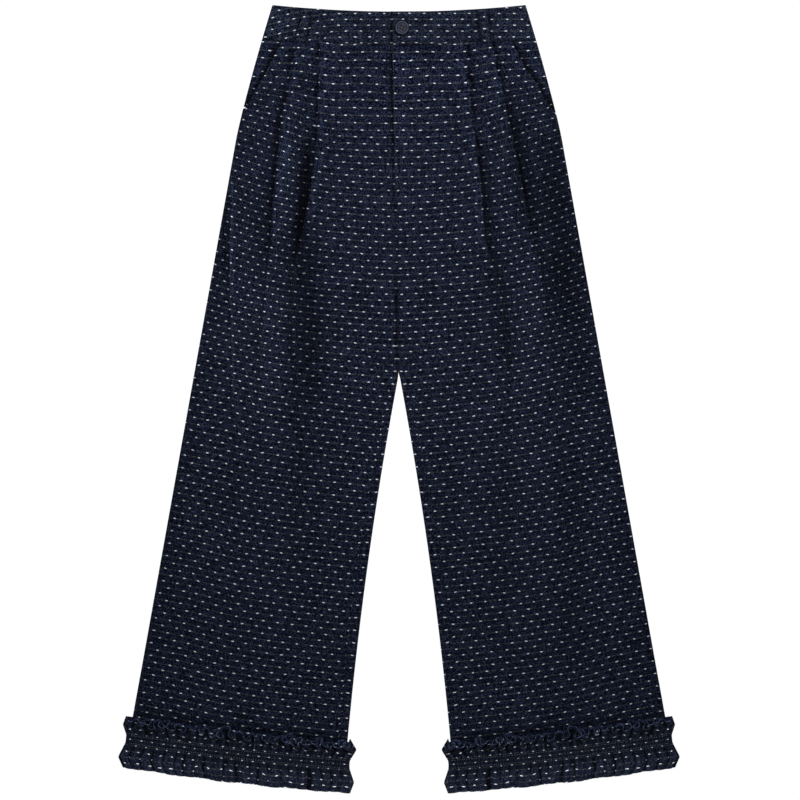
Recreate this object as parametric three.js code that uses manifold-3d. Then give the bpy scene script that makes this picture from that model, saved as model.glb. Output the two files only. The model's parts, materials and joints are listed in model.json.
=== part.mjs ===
// Wide-leg trousers with two pleats on each side, slant pockets and a gathered
// ruffle round each hem, laid flat with the front up.
//
// Millimetres. X runs across the garment, Y from hem to waist and Z up off the
// table. The origin is on the table, under the middle of the outline. Half of
// the garment is worked out in u, the distance out from the middle, and side
// turns u into x: -1 for the half on the left of the view, +1 for the right.

import * as THREE from 'three';
import { mergeVertices } from 'three/addons/utils/BufferGeometryUtils.js';
import Module from 'manifold-3d';

const { lerp, clamp, smoothstep, degToRad } = THREE.MathUtils;

// Cloth and the layers that lie on each other.
const CLOTH = 1.1;
const GAP = 0.3;
const LAYER = CLOTH + GAP;
const BAND = 2.0;
const BACK_MIDDLE = CLOTH / 2;
const FRONT_MIDDLE = BACK_MIDDLE + LAYER;
const BACK_BAND_MIDDLE = LAYER + BAND / 2;
const FRONT_BAND_MIDDLE = BACK_BAND_MIDDLE + BAND + GAP;

// Outline. The waist seam and the top edge dip in the middle, and each leg's
// hem slopes down towards the inner leg.
const WAIST = { middle: 443.75, rise: 5, at: 171 };
const TOP_EDGE = { middle: 483.75, rise: 8, at: 156 };
const HEM = { innerY: -466, innerU: 65, outerY: -434, outerU: 339 };
const FLY_SIDE_CLEAR = 30;
const SIDE = { u: 203.75, y: 323.75, flare: 0.1788, hip: 14.7, hipHeight: 162.5, hipPower: 1.4 };
const INNER_LEG = { y: 26, u: 2.2, flare: 0.178, bend: 0.00009 };
const CROTCH_Y = 141;

const waistY = (u) => WAIST.middle + WAIST.rise * (u / WAIST.at) ** 2;
const topY = (u) => TOP_EDGE.middle + TOP_EDGE.rise * (u / TOP_EDGE.at) ** 2;
const hemSlope = (HEM.outerY - HEM.innerY) / (HEM.outerU - HEM.innerU);
const hemY = (u) => HEM.innerY + hemSlope * (u - HEM.innerU);

// A row of a panel runs from the centre or inner leg to the side. share is 0
// at the waist seam and 1 at the hem.
const rowY = (share, u) => lerp(waistY(u), hemY(u), share);

function sideU(y) {
  const above = Math.max(0, (y - SIDE.y) / SIDE.hipHeight);
  return SIDE.u + SIDE.flare * (SIDE.y - y) - SIDE.hip * above ** SIDE.hipPower;
}

// Linear reading of one column of a table whose rows fall in y.
function lookUp(table, column, y) {
  if (y >= table[0].y) return table[0][column];
  for (let row = 1; row < table.length; row += 1) {
    const above = table[row - 1];
    const below = table[row];
    if (y >= below.y) return lerp(below[column], above[column], (y - below.y) / (above.y - below.y));
  }
  return table[table.length - 1][column];
}

// The centre front line leans: x of the fly's edge, of the seam under it and
// of the line where the two inner legs touch.
const CENTRE_LINE = [
  { y: 444, x: -10.0 },
  { y: 374, x: -8.4 },
  { y: 305, x: -6.6 },
  { y: 236, x: -3.4 },
  { y: 186, x: -2.0 },
  { y: 161, x: -2.2 },
  { y: CROTCH_Y, x: -3.1 },
  { y: 110, x: -4.2 },
  { y: 70, x: -4.7 },
  { y: 49, x: -2.2 },
  { y: 26, x: 0 },
];
const BACK_SEAM_STRAIGHT_Y = 200;

// Half the gap between the legs, which lie side by side until they part.
function halfGap(y) {
  const drop = INNER_LEG.y - y;
  return Math.max(GAP / 2, INNER_LEG.u + INNER_LEG.flare * drop - INNER_LEG.bend * drop ** 2);
}

const frontEdge = (side, y) => side * lookUp(CENTRE_LINE, 'x', y) + halfGap(y);

function backEdge(side, y) {
  const straight = clamp((y - CROTCH_Y) / (BACK_SEAM_STRAIGHT_Y - CROTCH_Y), 0, 1);
  return side * lookUp(CENTRE_LINE, 'x', y) * (1 - straight) + halfGap(y);
}

// Where the rows of the panels lie. The pair near 0.2 is the end of the fly, the
// one near 0.33 the crotch and 0.442 where the legs part, and the last four lift
// the panels over the back ruffle. Each half adds a pair of rows at the lower
// end of its pocket mouth.
const ROWS = [0, 0.022, 0.055, 0.14, 0.17, 0.1916, 0.209, 0.245, 0.285,
  0.328, 0.345, 0.39, 0.442, 0.53, 0.62, 0.73, 0.87, 0.915, 0.953, 1];
const MOUTH_ROW_STEP = 0.0033;
const halfRows = ({ pocket }) => [...ROWS, pocket.end - MOUTH_ROW_STEP, pocket.end].sort((a, b) => a - b);
const WAIST_LIFT = { height: LAYER, end: 0.055 };
const HEM_LIFT = { height: 3.9, start: 0.87, end: 0.953 };

function rowLift(share) {
  const waist = WAIST_LIFT.height * (1 - smoothstep(share, 0, WAIST_LIFT.end));
  return waist + HEM_LIFT.height * smoothstep(share, HEM_LIFT.start, HEM_LIFT.end);
}

// How a fold lies at each height: the cloth turns down by turn, runs depth
// under itself and turns back. It is a pressed pleat at the waist, opens at
// the hip and is a soft step down the leg. run is the slope up to its edge.
const PLEAT = [
  { y: 446, turn: 180, radius: 0.7, depth: 20, run: 8 },
  { y: 385, turn: 180, radius: 0.7, depth: 17, run: 10 },
  { y: 330, turn: 178, radius: 0.7, depth: 12, run: 14 },
  { y: 285, turn: 172, radius: 0.75, depth: 4.5, run: 22 },
  { y: 240, turn: 155, radius: 0.8, depth: 1.2, run: 28 },
  { y: 190, turn: 120, radius: 0.85, depth: 1, run: 34 },
  { y: 140, turn: 80, radius: 1.7, depth: 0.5, run: 38 },
  { y: 90, turn: 50, radius: 4.4, depth: 0.3, run: 42 },
  { y: 20, turn: 34, radius: 9, depth: 0.3, run: 46 },
  { y: -60, turn: 26, radius: 13, depth: 0.3, run: 50 },
  { y: -150, turn: 17, radius: 20, depth: 0.3, run: 50 },
  { y: -260, turn: 9, radius: 32, depth: 0.3, run: 50 },
  { y: -400, turn: 3, radius: 40, depth: 0.3, run: 50 },
];
const SIDE_FOLD = [
  { y: 446, turn: 3, radius: 3, depth: 0.3, run: 3 },
  { y: 285, turn: 8, radius: 3, depth: 0.3, run: 8 },
  { y: 217, turn: 33, radius: 6, depth: 0.3, run: 20 },
  { y: 155, turn: 42, radius: 6, depth: 0.3, run: 26 },
  { y: 92, turn: 38, radius: 7, depth: 0.3, run: 30 },
  { y: 30, turn: 30, radius: 10, depth: 0.3, run: 34 },
  { y: -84, turn: 20, radius: 14, depth: 0.3, run: 40 },
  { y: -187, turn: 10, radius: 22, depth: 0.3, run: 44 },
  { y: -330, turn: 3, radius: 30, depth: 0.3, run: 44 },
];

// What differs between the two halves: the course of each fold's edge, the
// pocket mouth, and how far the back panel comes round the inner leg.
const HALVES = [
  {
    name: 'left',
    side: -1,
    folds: [
      {
        shape: PLEAT,
        course: [
          { y: 446, edge: 101 }, { y: 330, edge: 104 }, { y: 280, edge: 108 }, { y: 230, edge: 117 },
          { y: 186, edge: 127 }, { y: 155, edge: 133 }, { y: 100, edge: 136 }, { y: 0, edge: 129 },
          { y: -84, edge: 123 }, { y: -166, edge: 132 }, { y: -400, edge: 140 },
        ],
      },
      {
        shape: PLEAT,
        course: [
          { y: 446, edge: 135 }, { y: 386, edge: 139 }, { y: 349, edge: 147 }, { y: 299, edge: 152.5 },
          { y: 249, edge: 157.5 }, { y: 199, edge: 161 }, { y: 149, edge: 167 }, { y: 60, edge: 176 },
          { y: -84, edge: 178 }, { y: -400, edge: 200 },
        ],
      },
      {
        shape: SIDE_FOLD,
        course: [
          { y: 446, edge: 139 }, { y: 355, edge: 168 }, { y: 300, edge: 192 }, { y: 280, edge: 204 },
          { y: 217, edge: 210 }, { y: 155, edge: 211 }, { y: 92, edge: 208 }, { y: 30, edge: 208 },
          { y: -84, edge: 204 }, { y: -187, edge: 206 }, { y: -400, edge: 250 },
        ],
      },
    ],
    pocket: {
      end: 0.0976,
      mouth: [
        { y: 450, edge: 145, gape: 0 },
        { y: 410, edge: 165, gape: 0.6 },
        { y: 372, edge: 186, gape: 0.6 },
        { y: 360, edge: 192, gape: 0 },
      ],
    },
    wrap: [{ y: CROTCH_Y, width: 2.6 }, { y: -130, width: 12 }, { y: -466, width: 12 }],
  },
  {
    name: 'right',
    side: 1,
    folds: [
      {
        shape: PLEAT,
        course: [
          { y: 446, edge: 86 }, { y: 374, edge: 92 }, { y: 311, edge: 98 }, { y: 249, edge: 105 },
          { y: 199, edge: 108 }, { y: 180, edge: 114 }, { y: 130, edge: 129 }, { y: 92, edge: 135 },
          { y: -21, edge: 135 }, { y: -84, edge: 134 }, { y: -400, edge: 130 },
        ],
      },
      {
        shape: PLEAT,
        course: [
          { y: 446, edge: 119 }, { y: 411, edge: 127 }, { y: 374, edge: 133 }, { y: 311, edge: 146 },
          { y: 249, edge: 158 }, { y: 199, edge: 168 }, { y: 155, edge: 180 }, { y: 92, edge: 188 },
          { y: 30, edge: 194 }, { y: -84, edge: 197 }, { y: -166, edge: 200 }, { y: -400, edge: 222 },
        ],
      },
    ],
    pocket: {
      end: 0.1059,
      mouth: [
        { y: 450, edge: 138.5, gape: 0 },
        { y: 411, edge: 160, gape: 0.8 },
        { y: 390, edge: 174, gape: 2 },
        { y: 367, edge: 187, gape: 1 },
        { y: 354, edge: 197, gape: 0 },
      ],
    },
    wrap: [{ y: CROTCH_Y, width: 2.6 }, { y: -130, width: 12 }, { y: -466, width: 16.5 }],
  },
];

// The fly: the right front laps over the left one, whose underlap stops just
// above the fly's end, and comes down to it between end and closed.
const FLY = { underlap: 10, end: 0.1916, closed: 0.209, flat: 14, slope: 12 };

function flyLift(share) {
  return LAYER * (1 - smoothstep(share, FLY.end, FLY.closed));
}

// The u at which a row meets an edge that is given as a function of y.
function meet(share, edge) {
  let u = 120;
  for (let step = 0; step < 24; step += 1) u = edge(rowY(share, u));
  return u;
}

// Points on a wall's middle that turn down round the side and end at floor.
const ROLL = { radius: 1.2, steps: 2 };

function rollDown(path, end, top, floor, thickness = CLOTH) {
  const radius = ROLL.radius + (thickness - CLOTH) / 2;
  const last = end - thickness / 2;
  for (let step = 0; step <= ROLL.steps; step += 1) {
    const angle = (step / ROLL.steps) * (Math.PI / 2);
    path.push({ u: last - radius * (1 - Math.sin(angle)), z: top - radius * (1 - Math.cos(angle)) });
  }
  path.push({ u: last, z: floor });
}

// One fold of a section: the slope up, a short flat, the edge, the turn under
// and the turn back to the base. The next fold starts apart from it.
const TURN_STEPS = 3;
const FOLD_FLAT = 1.5;
const FOLD_APART = 1;

function addFold(path, fold, share, base, clearOf) {
  const course = (u) => lookUp(fold.course, 'edge', rowY(share, u));
  const edge = course(course(150));
  const y = rowY(share, edge);
  const turn = degToRad(lookUp(fold.shape, 'turn', y));
  const radius = lookUp(fold.shape, 'radius', y);
  const depth = lookUp(fold.shape, 'depth', y);
  const drop = 2 * radius * (1 - Math.cos(turn)) + depth * Math.sin(turn);
  const start = edge - (radius + CLOTH / 2) * Math.sin(Math.min(turn, Math.PI / 2));
  const under = start + 2 * radius * Math.sin(turn) + depth * Math.cos(turn) - radius;
  const turnsBack = turn > Math.PI / 2;
  const flatStart = start - FOLD_FLAT;
  const riseEnd = turnsBack ? Math.min(flatStart, under - CLOTH / 2 - GAP) : flatStart;
  const riseStart = Math.max(riseEnd - lookUp(fold.shape, 'run', y), Math.min(clearOf, riseEnd - FOLD_APART));
  for (const part of [0, 0.5, 1]) {
    path.push({ u: lerp(riseStart, riseEnd, part), z: base + drop * part });
  }
  let at = { u: start, z: base + drop };
  path.push(at);
  for (let step = 1; step <= TURN_STEPS; step += 1) {
    const angle = (turn * step) / TURN_STEPS;
    path.push({ u: at.u + radius * Math.sin(angle), z: at.z - radius * (1 - Math.cos(angle)) });
  }
  at = path[path.length - 1];
  at = { u: at.u + depth * Math.cos(turn), z: at.z - depth * Math.sin(turn) };
  path.push(at);
  for (let step = 1; step <= TURN_STEPS; step += 1) {
    const angle = turn * (1 - step / TURN_STEPS);
    path.push({
      u: at.u + radius * (Math.sin(turn) - Math.sin(angle)),
      z: at.z - radius * (Math.cos(angle) - Math.cos(turn)),
    });
  }
  return Math.max(edge, path[path.length - 1].u) + FOLD_APART;
}

// Where a front panel ends at the side: on the pocket mouth, lifted clear of
// the facing, or below it at the side seam. The lift fades out by liftEnd.
const MOUTH = { liftEnd: 0.17, slopeFrom: 24, slopeTo: 13, slopeLeast: 4, edgeSteps: [4, 3, 2, 1, 0] };

function sideEnd(half, share, clearOf) {
  const { end, mouth } = half.pocket;
  const open = share < end;
  const u = open ? meet(share, (y) => lookUp(mouth, 'edge', y)) : meet(share, sideU);
  const gape = open ? lookUp(mouth, 'gape', rowY(share, u)) : 0;
  const lift = (LAYER + gape) * (1 - smoothstep(share, end, MOUTH.liftEnd));
  const liftStart = Math.max(u - MOUTH.slopeFrom, clearOf);
  const liftEnd = Math.max(u - MOUTH.slopeTo, clearOf + MOUTH.slopeLeast);
  return { open, u, lift, liftStart, liftEnd };
}

const INSEAM_GAP = 2 * GAP;

function frontPath(half, share) {
  const { side } = half;
  const base = FRONT_MIDDLE + rowLift(share);
  const inner = meet(share, (y) => {
    const wrap = y < CROTCH_Y ? lookUp(half.wrap, 'width', y) + INSEAM_GAP : 0;
    return frontEdge(side, y) + wrap;
  });
  const path = [];
  if (side < 0) {
    const first = inner - (share < FLY.end ? FLY.underlap : 0);
    for (const along of [0, FLY.flat, FLY.flat + FLY.slope]) path.push({ u: first + along, z: base });
  } else {
    const lifted = base + flyLift(share);
    path.push({ u: inner, z: lifted }, { u: inner + FLY.flat, z: lifted });
    path.push({ u: inner + FLY.flat + FLY.slope, z: base });
  }
  let clearOf = inner + FLY_SIDE_CLEAR;
  for (const fold of half.folds) clearOf = addFold(path, fold, share, base, clearOf);
  const end = sideEnd(half, share, clearOf);
  const top = base + end.lift;
  path.push({ u: end.liftStart, z: base }, { u: end.liftEnd, z: top });
  if (end.open) {
    for (const back of MOUTH.edgeSteps) path.push({ u: end.u - back, z: top });
  } else {
    path.push({ u: end.u - MOUTH.edgeSteps[0], z: top });
    rollDown(path, end.u, top, rowLift(share));
  }
  return path;
}

// A facing's hidden edge lies just outside where the front is fully lifted,
// which is the last point of the front's path before its edge steps.
function facingPath(half, share) {
  const front = frontPath(half, share);
  const hidden = front[front.length - 1 - MOUTH.edgeSteps.length].u + GAP;
  const outer = meet(share, sideU);
  const base = FRONT_MIDDLE + rowLift(share);
  const path = [{ u: hidden, z: base }, { u: (hidden + outer) / 2, z: base }];
  rollDown(path, outer, base, rowLift(share));
  return path;
}

// A back panel stops inside the front's roll at the side. Below the crotch it
// comes round the inner leg and meets the front at the inseam.
function backPath(half, share) {
  const { side } = half;
  const base = BACK_MIDDLE + rowLift(share);
  const edge = meet(share, (y) => backEdge(side, y));
  const besideMouth = Math.abs(share - half.pocket.end) < 2 * MOUTH_ROW_STEP;
  const outer = meet(share, sideU) - CLOTH - (besideMouth ? 5 * GAP : GAP);
  const radius = LAYER / 2;
  const turnAt = edge + CLOTH / 2 + radius;
  const path = [];
  for (const part of [0, 0.25, 0.5, 0.75]) path.push({ u: lerp(outer, turnAt + 4, part), z: base });
  path.push({ u: turnAt + 4, z: base });
  if (rowY(share, edge) >= CROTCH_Y) {
    for (const back of [3.2, 2.4, 1.6, 0.8, 0.4, 0]) path.push({ u: edge + back, z: base });
    return path;
  }
  for (const angle of [0, 45, 90, 135, 180].map(degToRad)) {
    path.push({ u: turnAt - radius * Math.sin(angle), z: base + radius * (1 - Math.cos(angle)) });
  }
  const width = lookUp(half.wrap, 'width', rowY(share, edge));
  path.push({ u: edge + width, z: base + LAYER });
  return path;
}

// A closed body from its corners and faces, turned so that its faces point out.
function closedBody(points, faces) {
  let volume = 0;
  for (const [a, b, c] of faces) volume += points[a].dot(points[b].clone().cross(points[c]));
  const order = volume > 0 ? faces : faces.map(([a, b, c]) => [a, c, b]);
  const geometry = new THREE.BufferGeometry();
  geometry.setAttribute('position', new THREE.Float32BufferAttribute(points.flatMap((p) => p.toArray()), 3));
  geometry.setIndex(order.flat());
  return geometry;
}

// A wall of cloth. Each row is a section, a list of points on its middle, and
// every point gives one on the face and one on the back, half a thickness
// away square to the section.
function clothWall(rows, side, thickness = CLOTH) {
  const across = rows[0].length;
  const points = [];
  for (const row of rows) {
    for (let i = 0; i < across; i += 1) {
      const before = row[Math.max(0, i - 1)];
      const after = row[Math.min(across - 1, i + 1)];
      const here = row[i];
      const arrive = new THREE.Vector2(here.u - before.u, here.z - before.z);
      const leave = new THREE.Vector2(after.u - here.u, after.z - here.z);
      const bend = i > 0 && i < across - 1 ? Math.abs(arrive.angleTo(leave)) : 0;
      const run = arrive.normalize().add(leave.normalize()).normalize();
      const reach = thickness / 2 / Math.max(0.8, Math.cos(bend / 2));
      points.push(new THREE.Vector3(side * (here.u - run.y * reach), here.y, here.z + run.x * reach));
      points.push(new THREE.Vector3(side * (here.u + run.y * reach), here.y, here.z - run.x * reach));
    }
  }
  const face = (row, i) => 2 * (row * across + i);
  const back = (row, i) => face(row, i) + 1;
  const faces = [];
  const quad = (a, b, c, d) => faces.push([a, b, c], [a, c, d]);
  for (let row = 0; row < rows.length - 1; row += 1) {
    for (let i = 0; i < across - 1; i += 1) {
      quad(face(row, i), face(row, i + 1), face(row + 1, i + 1), face(row + 1, i));
      quad(back(row, i), back(row + 1, i), back(row + 1, i + 1), back(row, i + 1));
    }
    quad(face(row, 0), face(row + 1, 0), back(row + 1, 0), back(row, 0));
    quad(face(row, across - 1), back(row, across - 1), back(row + 1, across - 1), face(row + 1, across - 1));
  }
  const last = rows.length - 1;
  for (let i = 0; i < across - 1; i += 1) {
    quad(face(0, i), back(0, i), back(0, i + 1), face(0, i + 1));
    quad(face(last, i), face(last, i + 1), back(last, i + 1), back(last, i));
  }
  return closedBody(points, faces);
}

// A panel's rows, from the function that gives a section's path at a share.
function panelRows(shares, pathAt) {
  return shares.map((share) => pathAt(share).map(({ u, z }) => ({ u, z, y: rowY(share, u) - GAP / 2 })));
}

// The waistband: a doubled strip from the waist seam to the top edge. The
// right front end laps over the left one and the button goes through both.
const BAND_LAP = { under: 20, over: -10, flat: 24, end: 38 };

function bandRows(pathAt) {
  return [0, 0.5, 1].map((part) => {
    const edgeY = (u) => lerp(waistY(u) + GAP / 2, topY(u), part);
    let outer = SIDE.u;
    for (let step = 0; step < 24; step += 1) outer = sideU(edgeY(outer));
    return pathAt(outer).map(({ u, z }) => ({ u, z, y: edgeY(u) }));
  });
}

function frontBandPath(side, outer) {
  const lifted = FRONT_BAND_MIDDLE + BAND + GAP;
  const path = [];
  if (side < 0) {
    for (const u of [-BAND_LAP.under, 0, BAND_LAP.under]) path.push({ u, z: FRONT_BAND_MIDDLE });
  } else {
    path.push({ u: BAND_LAP.over, z: lifted }, { u: BAND_LAP.flat, z: lifted });
    path.push({ u: BAND_LAP.end, z: FRONT_BAND_MIDDLE });
  }
  for (const u of [60, 90, 120]) path.push({ u, z: FRONT_BAND_MIDDLE });
  rollDown(path, outer, FRONT_BAND_MIDDLE, LAYER, BAND);
  return path;
}

function backBandPath(outer) {
  const end = outer - BAND - GAP;
  return [-1, -0.6, -0.2, 0.2, 0.6, 1].map((part) => ({ u: part * end, z: BACK_BAND_MIDDLE }));
}

// Belt loops: x of the middle at the top edge and at the waist seam.
const LOOP = { width: 10.6, bow: 0.6, belowTop: 1, aboveSeam: 1 };
const LOOPS = [
  { name: 'belt_loop_front_left', top: -114, bottom: -124, back: false },
  { name: 'belt_loop_front_right', top: 104.4, bottom: 109, back: false },
  { name: 'belt_loop_back_left', top: -108, bottom: -113, back: true },
  { name: 'belt_loop_back_middle', top: 0, bottom: 0, back: true },
  { name: 'belt_loop_back_right', top: 108, bottom: 113, back: true },
];

function loopRows({ top, bottom, back }) {
  const flat = back ? CLOTH / 2 : FRONT_BAND_MIDDLE + BAND / 2 + GAP + CLOTH / 2;
  return [0, 0.25, 0.5, 0.75, 1].map((part) => {
    const middle = lerp(bottom, top, part);
    const y = lerp(waistY(middle) + LOOP.aboveSeam, topY(middle) - LOOP.belowTop, part);
    const z = flat + (back ? 0 : LOOP.bow * Math.sin(Math.PI * part));
    return [-0.5, 0, 0.5].map((across) => ({ u: middle + across * LOOP.width, y, z }));
  });
}

// Hem ruffles: a strip gathered on two rows of stitches a little above its
// middle, so that a heading stands above them and a frill hangs below. The
// strip lies on the front and, flatter, under the back of each leg.
// Its lines, from the top: the heading's edge, the heading's widest, the two
// rows of stitches, the frill's widest and the frill's edge.
const RUFFLE = {
  waves: 22,
  lines: [
    { offset: 32, inner: 61, outer: 340.5, height: 5.6, rise: 1.2 },
    { offset: 22, inner: 53.3, outer: 344.5, height: 4.6, rise: 0.7 },
    { offset: 9, inner: 61.5, outer: 340.5, height: 2.2, rise: 0 },
    { offset: 0, inner: 62, outer: 341.5, height: 2.2, rise: 0 },
    { offset: -18, inner: 56.3, outer: 350.5, height: 3.8, rise: -0.3 },
    { offset: -31, inner: 61.3, outer: 344.5, height: 4.8, rise: -0.6 },
  ],
};
const STITCH_LINE = { innerY: -461, outerY: -428.5, bow: 3 };
const RUFFLE_FRONT = { floor: 7.3, tuck: 1.9, tuckWidth: 8, steps: 4 };
const RUFFLE_BACK = { height: 0.5, lowest: 0.7, steps: 3 };

// The waves are uneven: the phase runs ahead and falls back along the strip.
function wavePhase(part) {
  const drift = 0.011 * Math.sin(17.3 * part + 0.6) + 0.006 * Math.sin(41 * part + 2.1);
  return RUFFLE.waves * (part + drift * Math.sin(Math.PI * part));
}

function ruffleRow(line, front) {
  const steps = front ? RUFFLE_FRONT.steps : RUFFLE_BACK.steps;
  const count = RUFFLE.waves * steps;
  const row = [];
  for (let step = 0; step <= count; step += 1) {
    const part = step / count;
    const u = lerp(line.inner, line.outer, part);
    const wave = 0.5 - 0.5 * Math.cos(2 * Math.PI * wavePhase(part));
    const uneven = 1 + 0.18 * Math.sin(23 * part + 1.3);
    const fromEnd = Math.min(u - line.inner, line.outer - u);
    const tuck = RUFFLE_FRONT.tuck * (1 - smoothstep(fromEnd, 0, RUFFLE_FRONT.tuckWidth));
    const y = lerp(STITCH_LINE.innerY, STITCH_LINE.outerY, part)
      + line.offset - STITCH_LINE.bow * Math.sin(Math.PI * part);
    const frontZ = RUFFLE_FRONT.floor + line.rise + line.height * wave * uneven - tuck;
    const backTop = HEM_LIFT.height - GAP - CLOTH / 2;
    const backHeight = Math.min(backTop - RUFFLE_BACK.lowest, line.height * RUFFLE_BACK.height);
    row.push({ u, y, z: front ? frontZ : backTop - backHeight * wave });
  }
  return row;
}

// The button: a disc with a raised rim and four thread holes.
const BUTTON = { x: 3.8, y: 464, radius: 8.5, height: 2.8, rim: 2.2, dish: 0.8, hole: 0.95, holeFrom: 1.9 };

async function buttonGeometry() {
  const wasm = await Module();
  wasm.setup();
  const solid = (geometry) => {
    for (const name of ['normal', 'uv']) geometry.deleteAttribute(name);
    const merged = mergeVertices(geometry, 1e-4);
    const corners = Array.from(merged.getIndex().array);
    const triangles = [];
    for (let i = 0; i < corners.length; i += 3) {
      const [a, b, c] = corners.slice(i, i + 3);
      if (a !== b && b !== c && c !== a) triangles.push(a, b, c);
    }
    return new wasm.Manifold(new wasm.Mesh({
      numProp: 3,
      vertProperties: merged.getAttribute('position').array,
      triVerts: new Uint32Array(triangles),
    }));
  };
  const { radius, height, rim, dish } = BUTTON;
  const profile = [[0, 0], [radius - 0.8, 0], [radius, 0.9], [radius, height - 0.6], [radius - 0.7, height],
    [radius - rim, height], [radius - rim - 0.6, height - dish], [0, height - dish]];
  const disc = new THREE.LatheGeometry(profile.map(([r, z]) => new THREE.Vector2(r, z)), 24);
  disc.rotateX(Math.PI / 2);
  let body = solid(disc);
  for (const [across, up] of [[1, 1], [1, -1], [-1, 1], [-1, -1]]) {
    const hole = new THREE.CylinderGeometry(BUTTON.hole, BUTTON.hole, height * 3, 8);
    hole.rotateX(Math.PI / 2);
    hole.translate(across * BUTTON.holeFrom, up * BUTTON.holeFrom, 0);
    body = body.subtract(solid(hole));
  }
  const { vertProperties, triVerts } = body.getMesh();
  const geometry = new THREE.BufferGeometry();
  geometry.setAttribute('position', new THREE.Float32BufferAttribute(vertProperties, 3));
  geometry.setIndex(Array.from(triVerts));
  const bandTop = FRONT_BAND_MIDDLE + BAND + GAP + BAND / 2;
  geometry.translate(BUTTON.x, BUTTON.y, bandTop + GAP);
  return geometry;
}

// The object: one named mesh for each piece.
const CLOTH_COLOUR = new THREE.Color(0x171b28);
const clothMaterial = () => new THREE.MeshStandardMaterial({ color: CLOTH_COLOUR, roughness: 0.9, metalness: 0 });
const group = new THREE.Group();

function add(name, geometry, material = clothMaterial()) {
  const mesh = new THREE.Mesh(geometry, material);
  mesh.name = name;
  group.add(mesh);
  return mesh;
}

for (const half of HALVES) {
  const { name, side } = half;
  const shares = halfRows(half);
  add(`front_${name}`, clothWall(panelRows(shares, (share) => frontPath(half, share)), side));
  add(`back_${name}`, clothWall(panelRows(shares, (share) => backPath(half, share)), side));
  const mouthRows = shares.filter((share) => share < half.pocket.end);
  add(`pocket_facing_${name}`, clothWall(panelRows(mouthRows, (share) => facingPath(half, share)), side));
  add(`waistband_front_${name}`, clothWall(bandRows((outer) => frontBandPath(side, outer)), side, BAND));
  for (const place of ['front', 'back']) {
    const rows = RUFFLE.lines.map((line) => ruffleRow(line, place === 'front'));
    add(`ruffle_${place}_${name}`, clothWall(rows, side));
  }
}
add('waistband_back', clothWall(bandRows(backBandPath), 1, BAND));
for (const loop of LOOPS) add(loop.name, clothWall(loopRows(loop), 1));
const plastic = new THREE.MeshStandardMaterial({ color: 0x383c47, roughness: 0.45, metalness: 0 });
add('waist_button', await buttonGeometry(), plastic);

export default group;
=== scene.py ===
# %% [markdown]
# # Wide-leg trousers with pleats and ruffled hems, laid flat
#
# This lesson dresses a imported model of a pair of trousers. The model gives the
# size and the place of every piece of cloth. Here each piece becomes a fine
# surface worked out with numpy, in the shape that the same named sizes give,
# and gets the dark weave with pale dashes that the real cloth has.
#
# Lengths are millimetres until a mesh is made. X runs across the garment, Y
# from hem to waist, Z up off the table, and u is the distance out from the
# middle, so one formula serves both halves.

# %% Load the frame
import json

import bpy
import numpy as np
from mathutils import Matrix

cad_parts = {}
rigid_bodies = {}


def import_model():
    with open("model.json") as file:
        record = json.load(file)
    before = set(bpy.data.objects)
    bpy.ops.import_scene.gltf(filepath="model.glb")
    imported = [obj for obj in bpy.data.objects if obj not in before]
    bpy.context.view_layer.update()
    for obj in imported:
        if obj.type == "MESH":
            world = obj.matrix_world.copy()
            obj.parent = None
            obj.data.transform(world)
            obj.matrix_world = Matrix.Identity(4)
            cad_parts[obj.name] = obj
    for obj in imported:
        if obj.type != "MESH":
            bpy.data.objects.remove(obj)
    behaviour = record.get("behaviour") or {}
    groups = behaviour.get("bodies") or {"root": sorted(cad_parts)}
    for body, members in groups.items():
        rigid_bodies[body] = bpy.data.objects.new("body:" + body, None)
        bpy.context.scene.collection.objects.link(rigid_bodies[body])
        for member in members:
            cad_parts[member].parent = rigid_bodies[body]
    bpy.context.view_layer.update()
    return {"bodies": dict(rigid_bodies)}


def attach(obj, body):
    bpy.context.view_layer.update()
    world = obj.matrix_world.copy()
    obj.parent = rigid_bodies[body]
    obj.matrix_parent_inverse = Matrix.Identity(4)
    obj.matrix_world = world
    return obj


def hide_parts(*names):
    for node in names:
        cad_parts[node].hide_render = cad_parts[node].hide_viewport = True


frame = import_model()

# %% [markdown]
# ## Camera, floor and light
#
# The garment lies flat and is seen from straight above. A camera close by would
# show the middle larger than the ends, so this one hangs 5 m up with a long
# lens. A plain white floor would take soft shadows round the garment. This one
# glows like a light table, so it stays even. A wide lamp beyond the waist end
# and a small one over the middle leave the slopes that face the hems and the
# sides in shade.

# %% Camera
MM = 0.001
VIEW_WIDTH = 1.0
CAMERA_HEIGHT = 5.0
SENSOR_MM = 36.0
VIEW_CENTRE = (0.00125, -0.00125)

lens = bpy.data.cameras.new("camera_above")
lens.sensor_width = SENSOR_MM
lens.lens = SENSOR_MM * CAMERA_HEIGHT / VIEW_WIDTH
lens.clip_end = 50
camera = bpy.data.objects.new("camera_above", lens)
camera.location = (*VIEW_CENTRE, CAMERA_HEIGHT)
bpy.context.scene.collection.objects.link(camera)
bpy.context.scene.camera = camera
print("camera:", lens.lens, "mm lens", CAMERA_HEIGHT, "m above the floor")

# %% Floor and lights
FLOOR_SIZE = 12.0
FLOOR_Z = -0.0006

bpy.ops.mesh.primitive_plane_add(size=FLOOR_SIZE, location=(0, 0, FLOOR_Z))
floor = bpy.context.object
floor.name = "studio_floor"
paint = bpy.data.materials.new("pale_floor")
paint.use_nodes = True
floor_shader = paint.node_tree.nodes["Principled BSDF"]
floor_shader.inputs["Base Color"].default_value = (0.02, 0.02, 0.02, 1)
floor_shader.inputs["Emission Color"].default_value = (1, 1, 1, 1)
floor_shader.inputs["Emission Strength"].default_value = 1.0
floor_shader.inputs["Specular IOR Level"].default_value = 0.0
floor.data.materials.append(paint)


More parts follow.
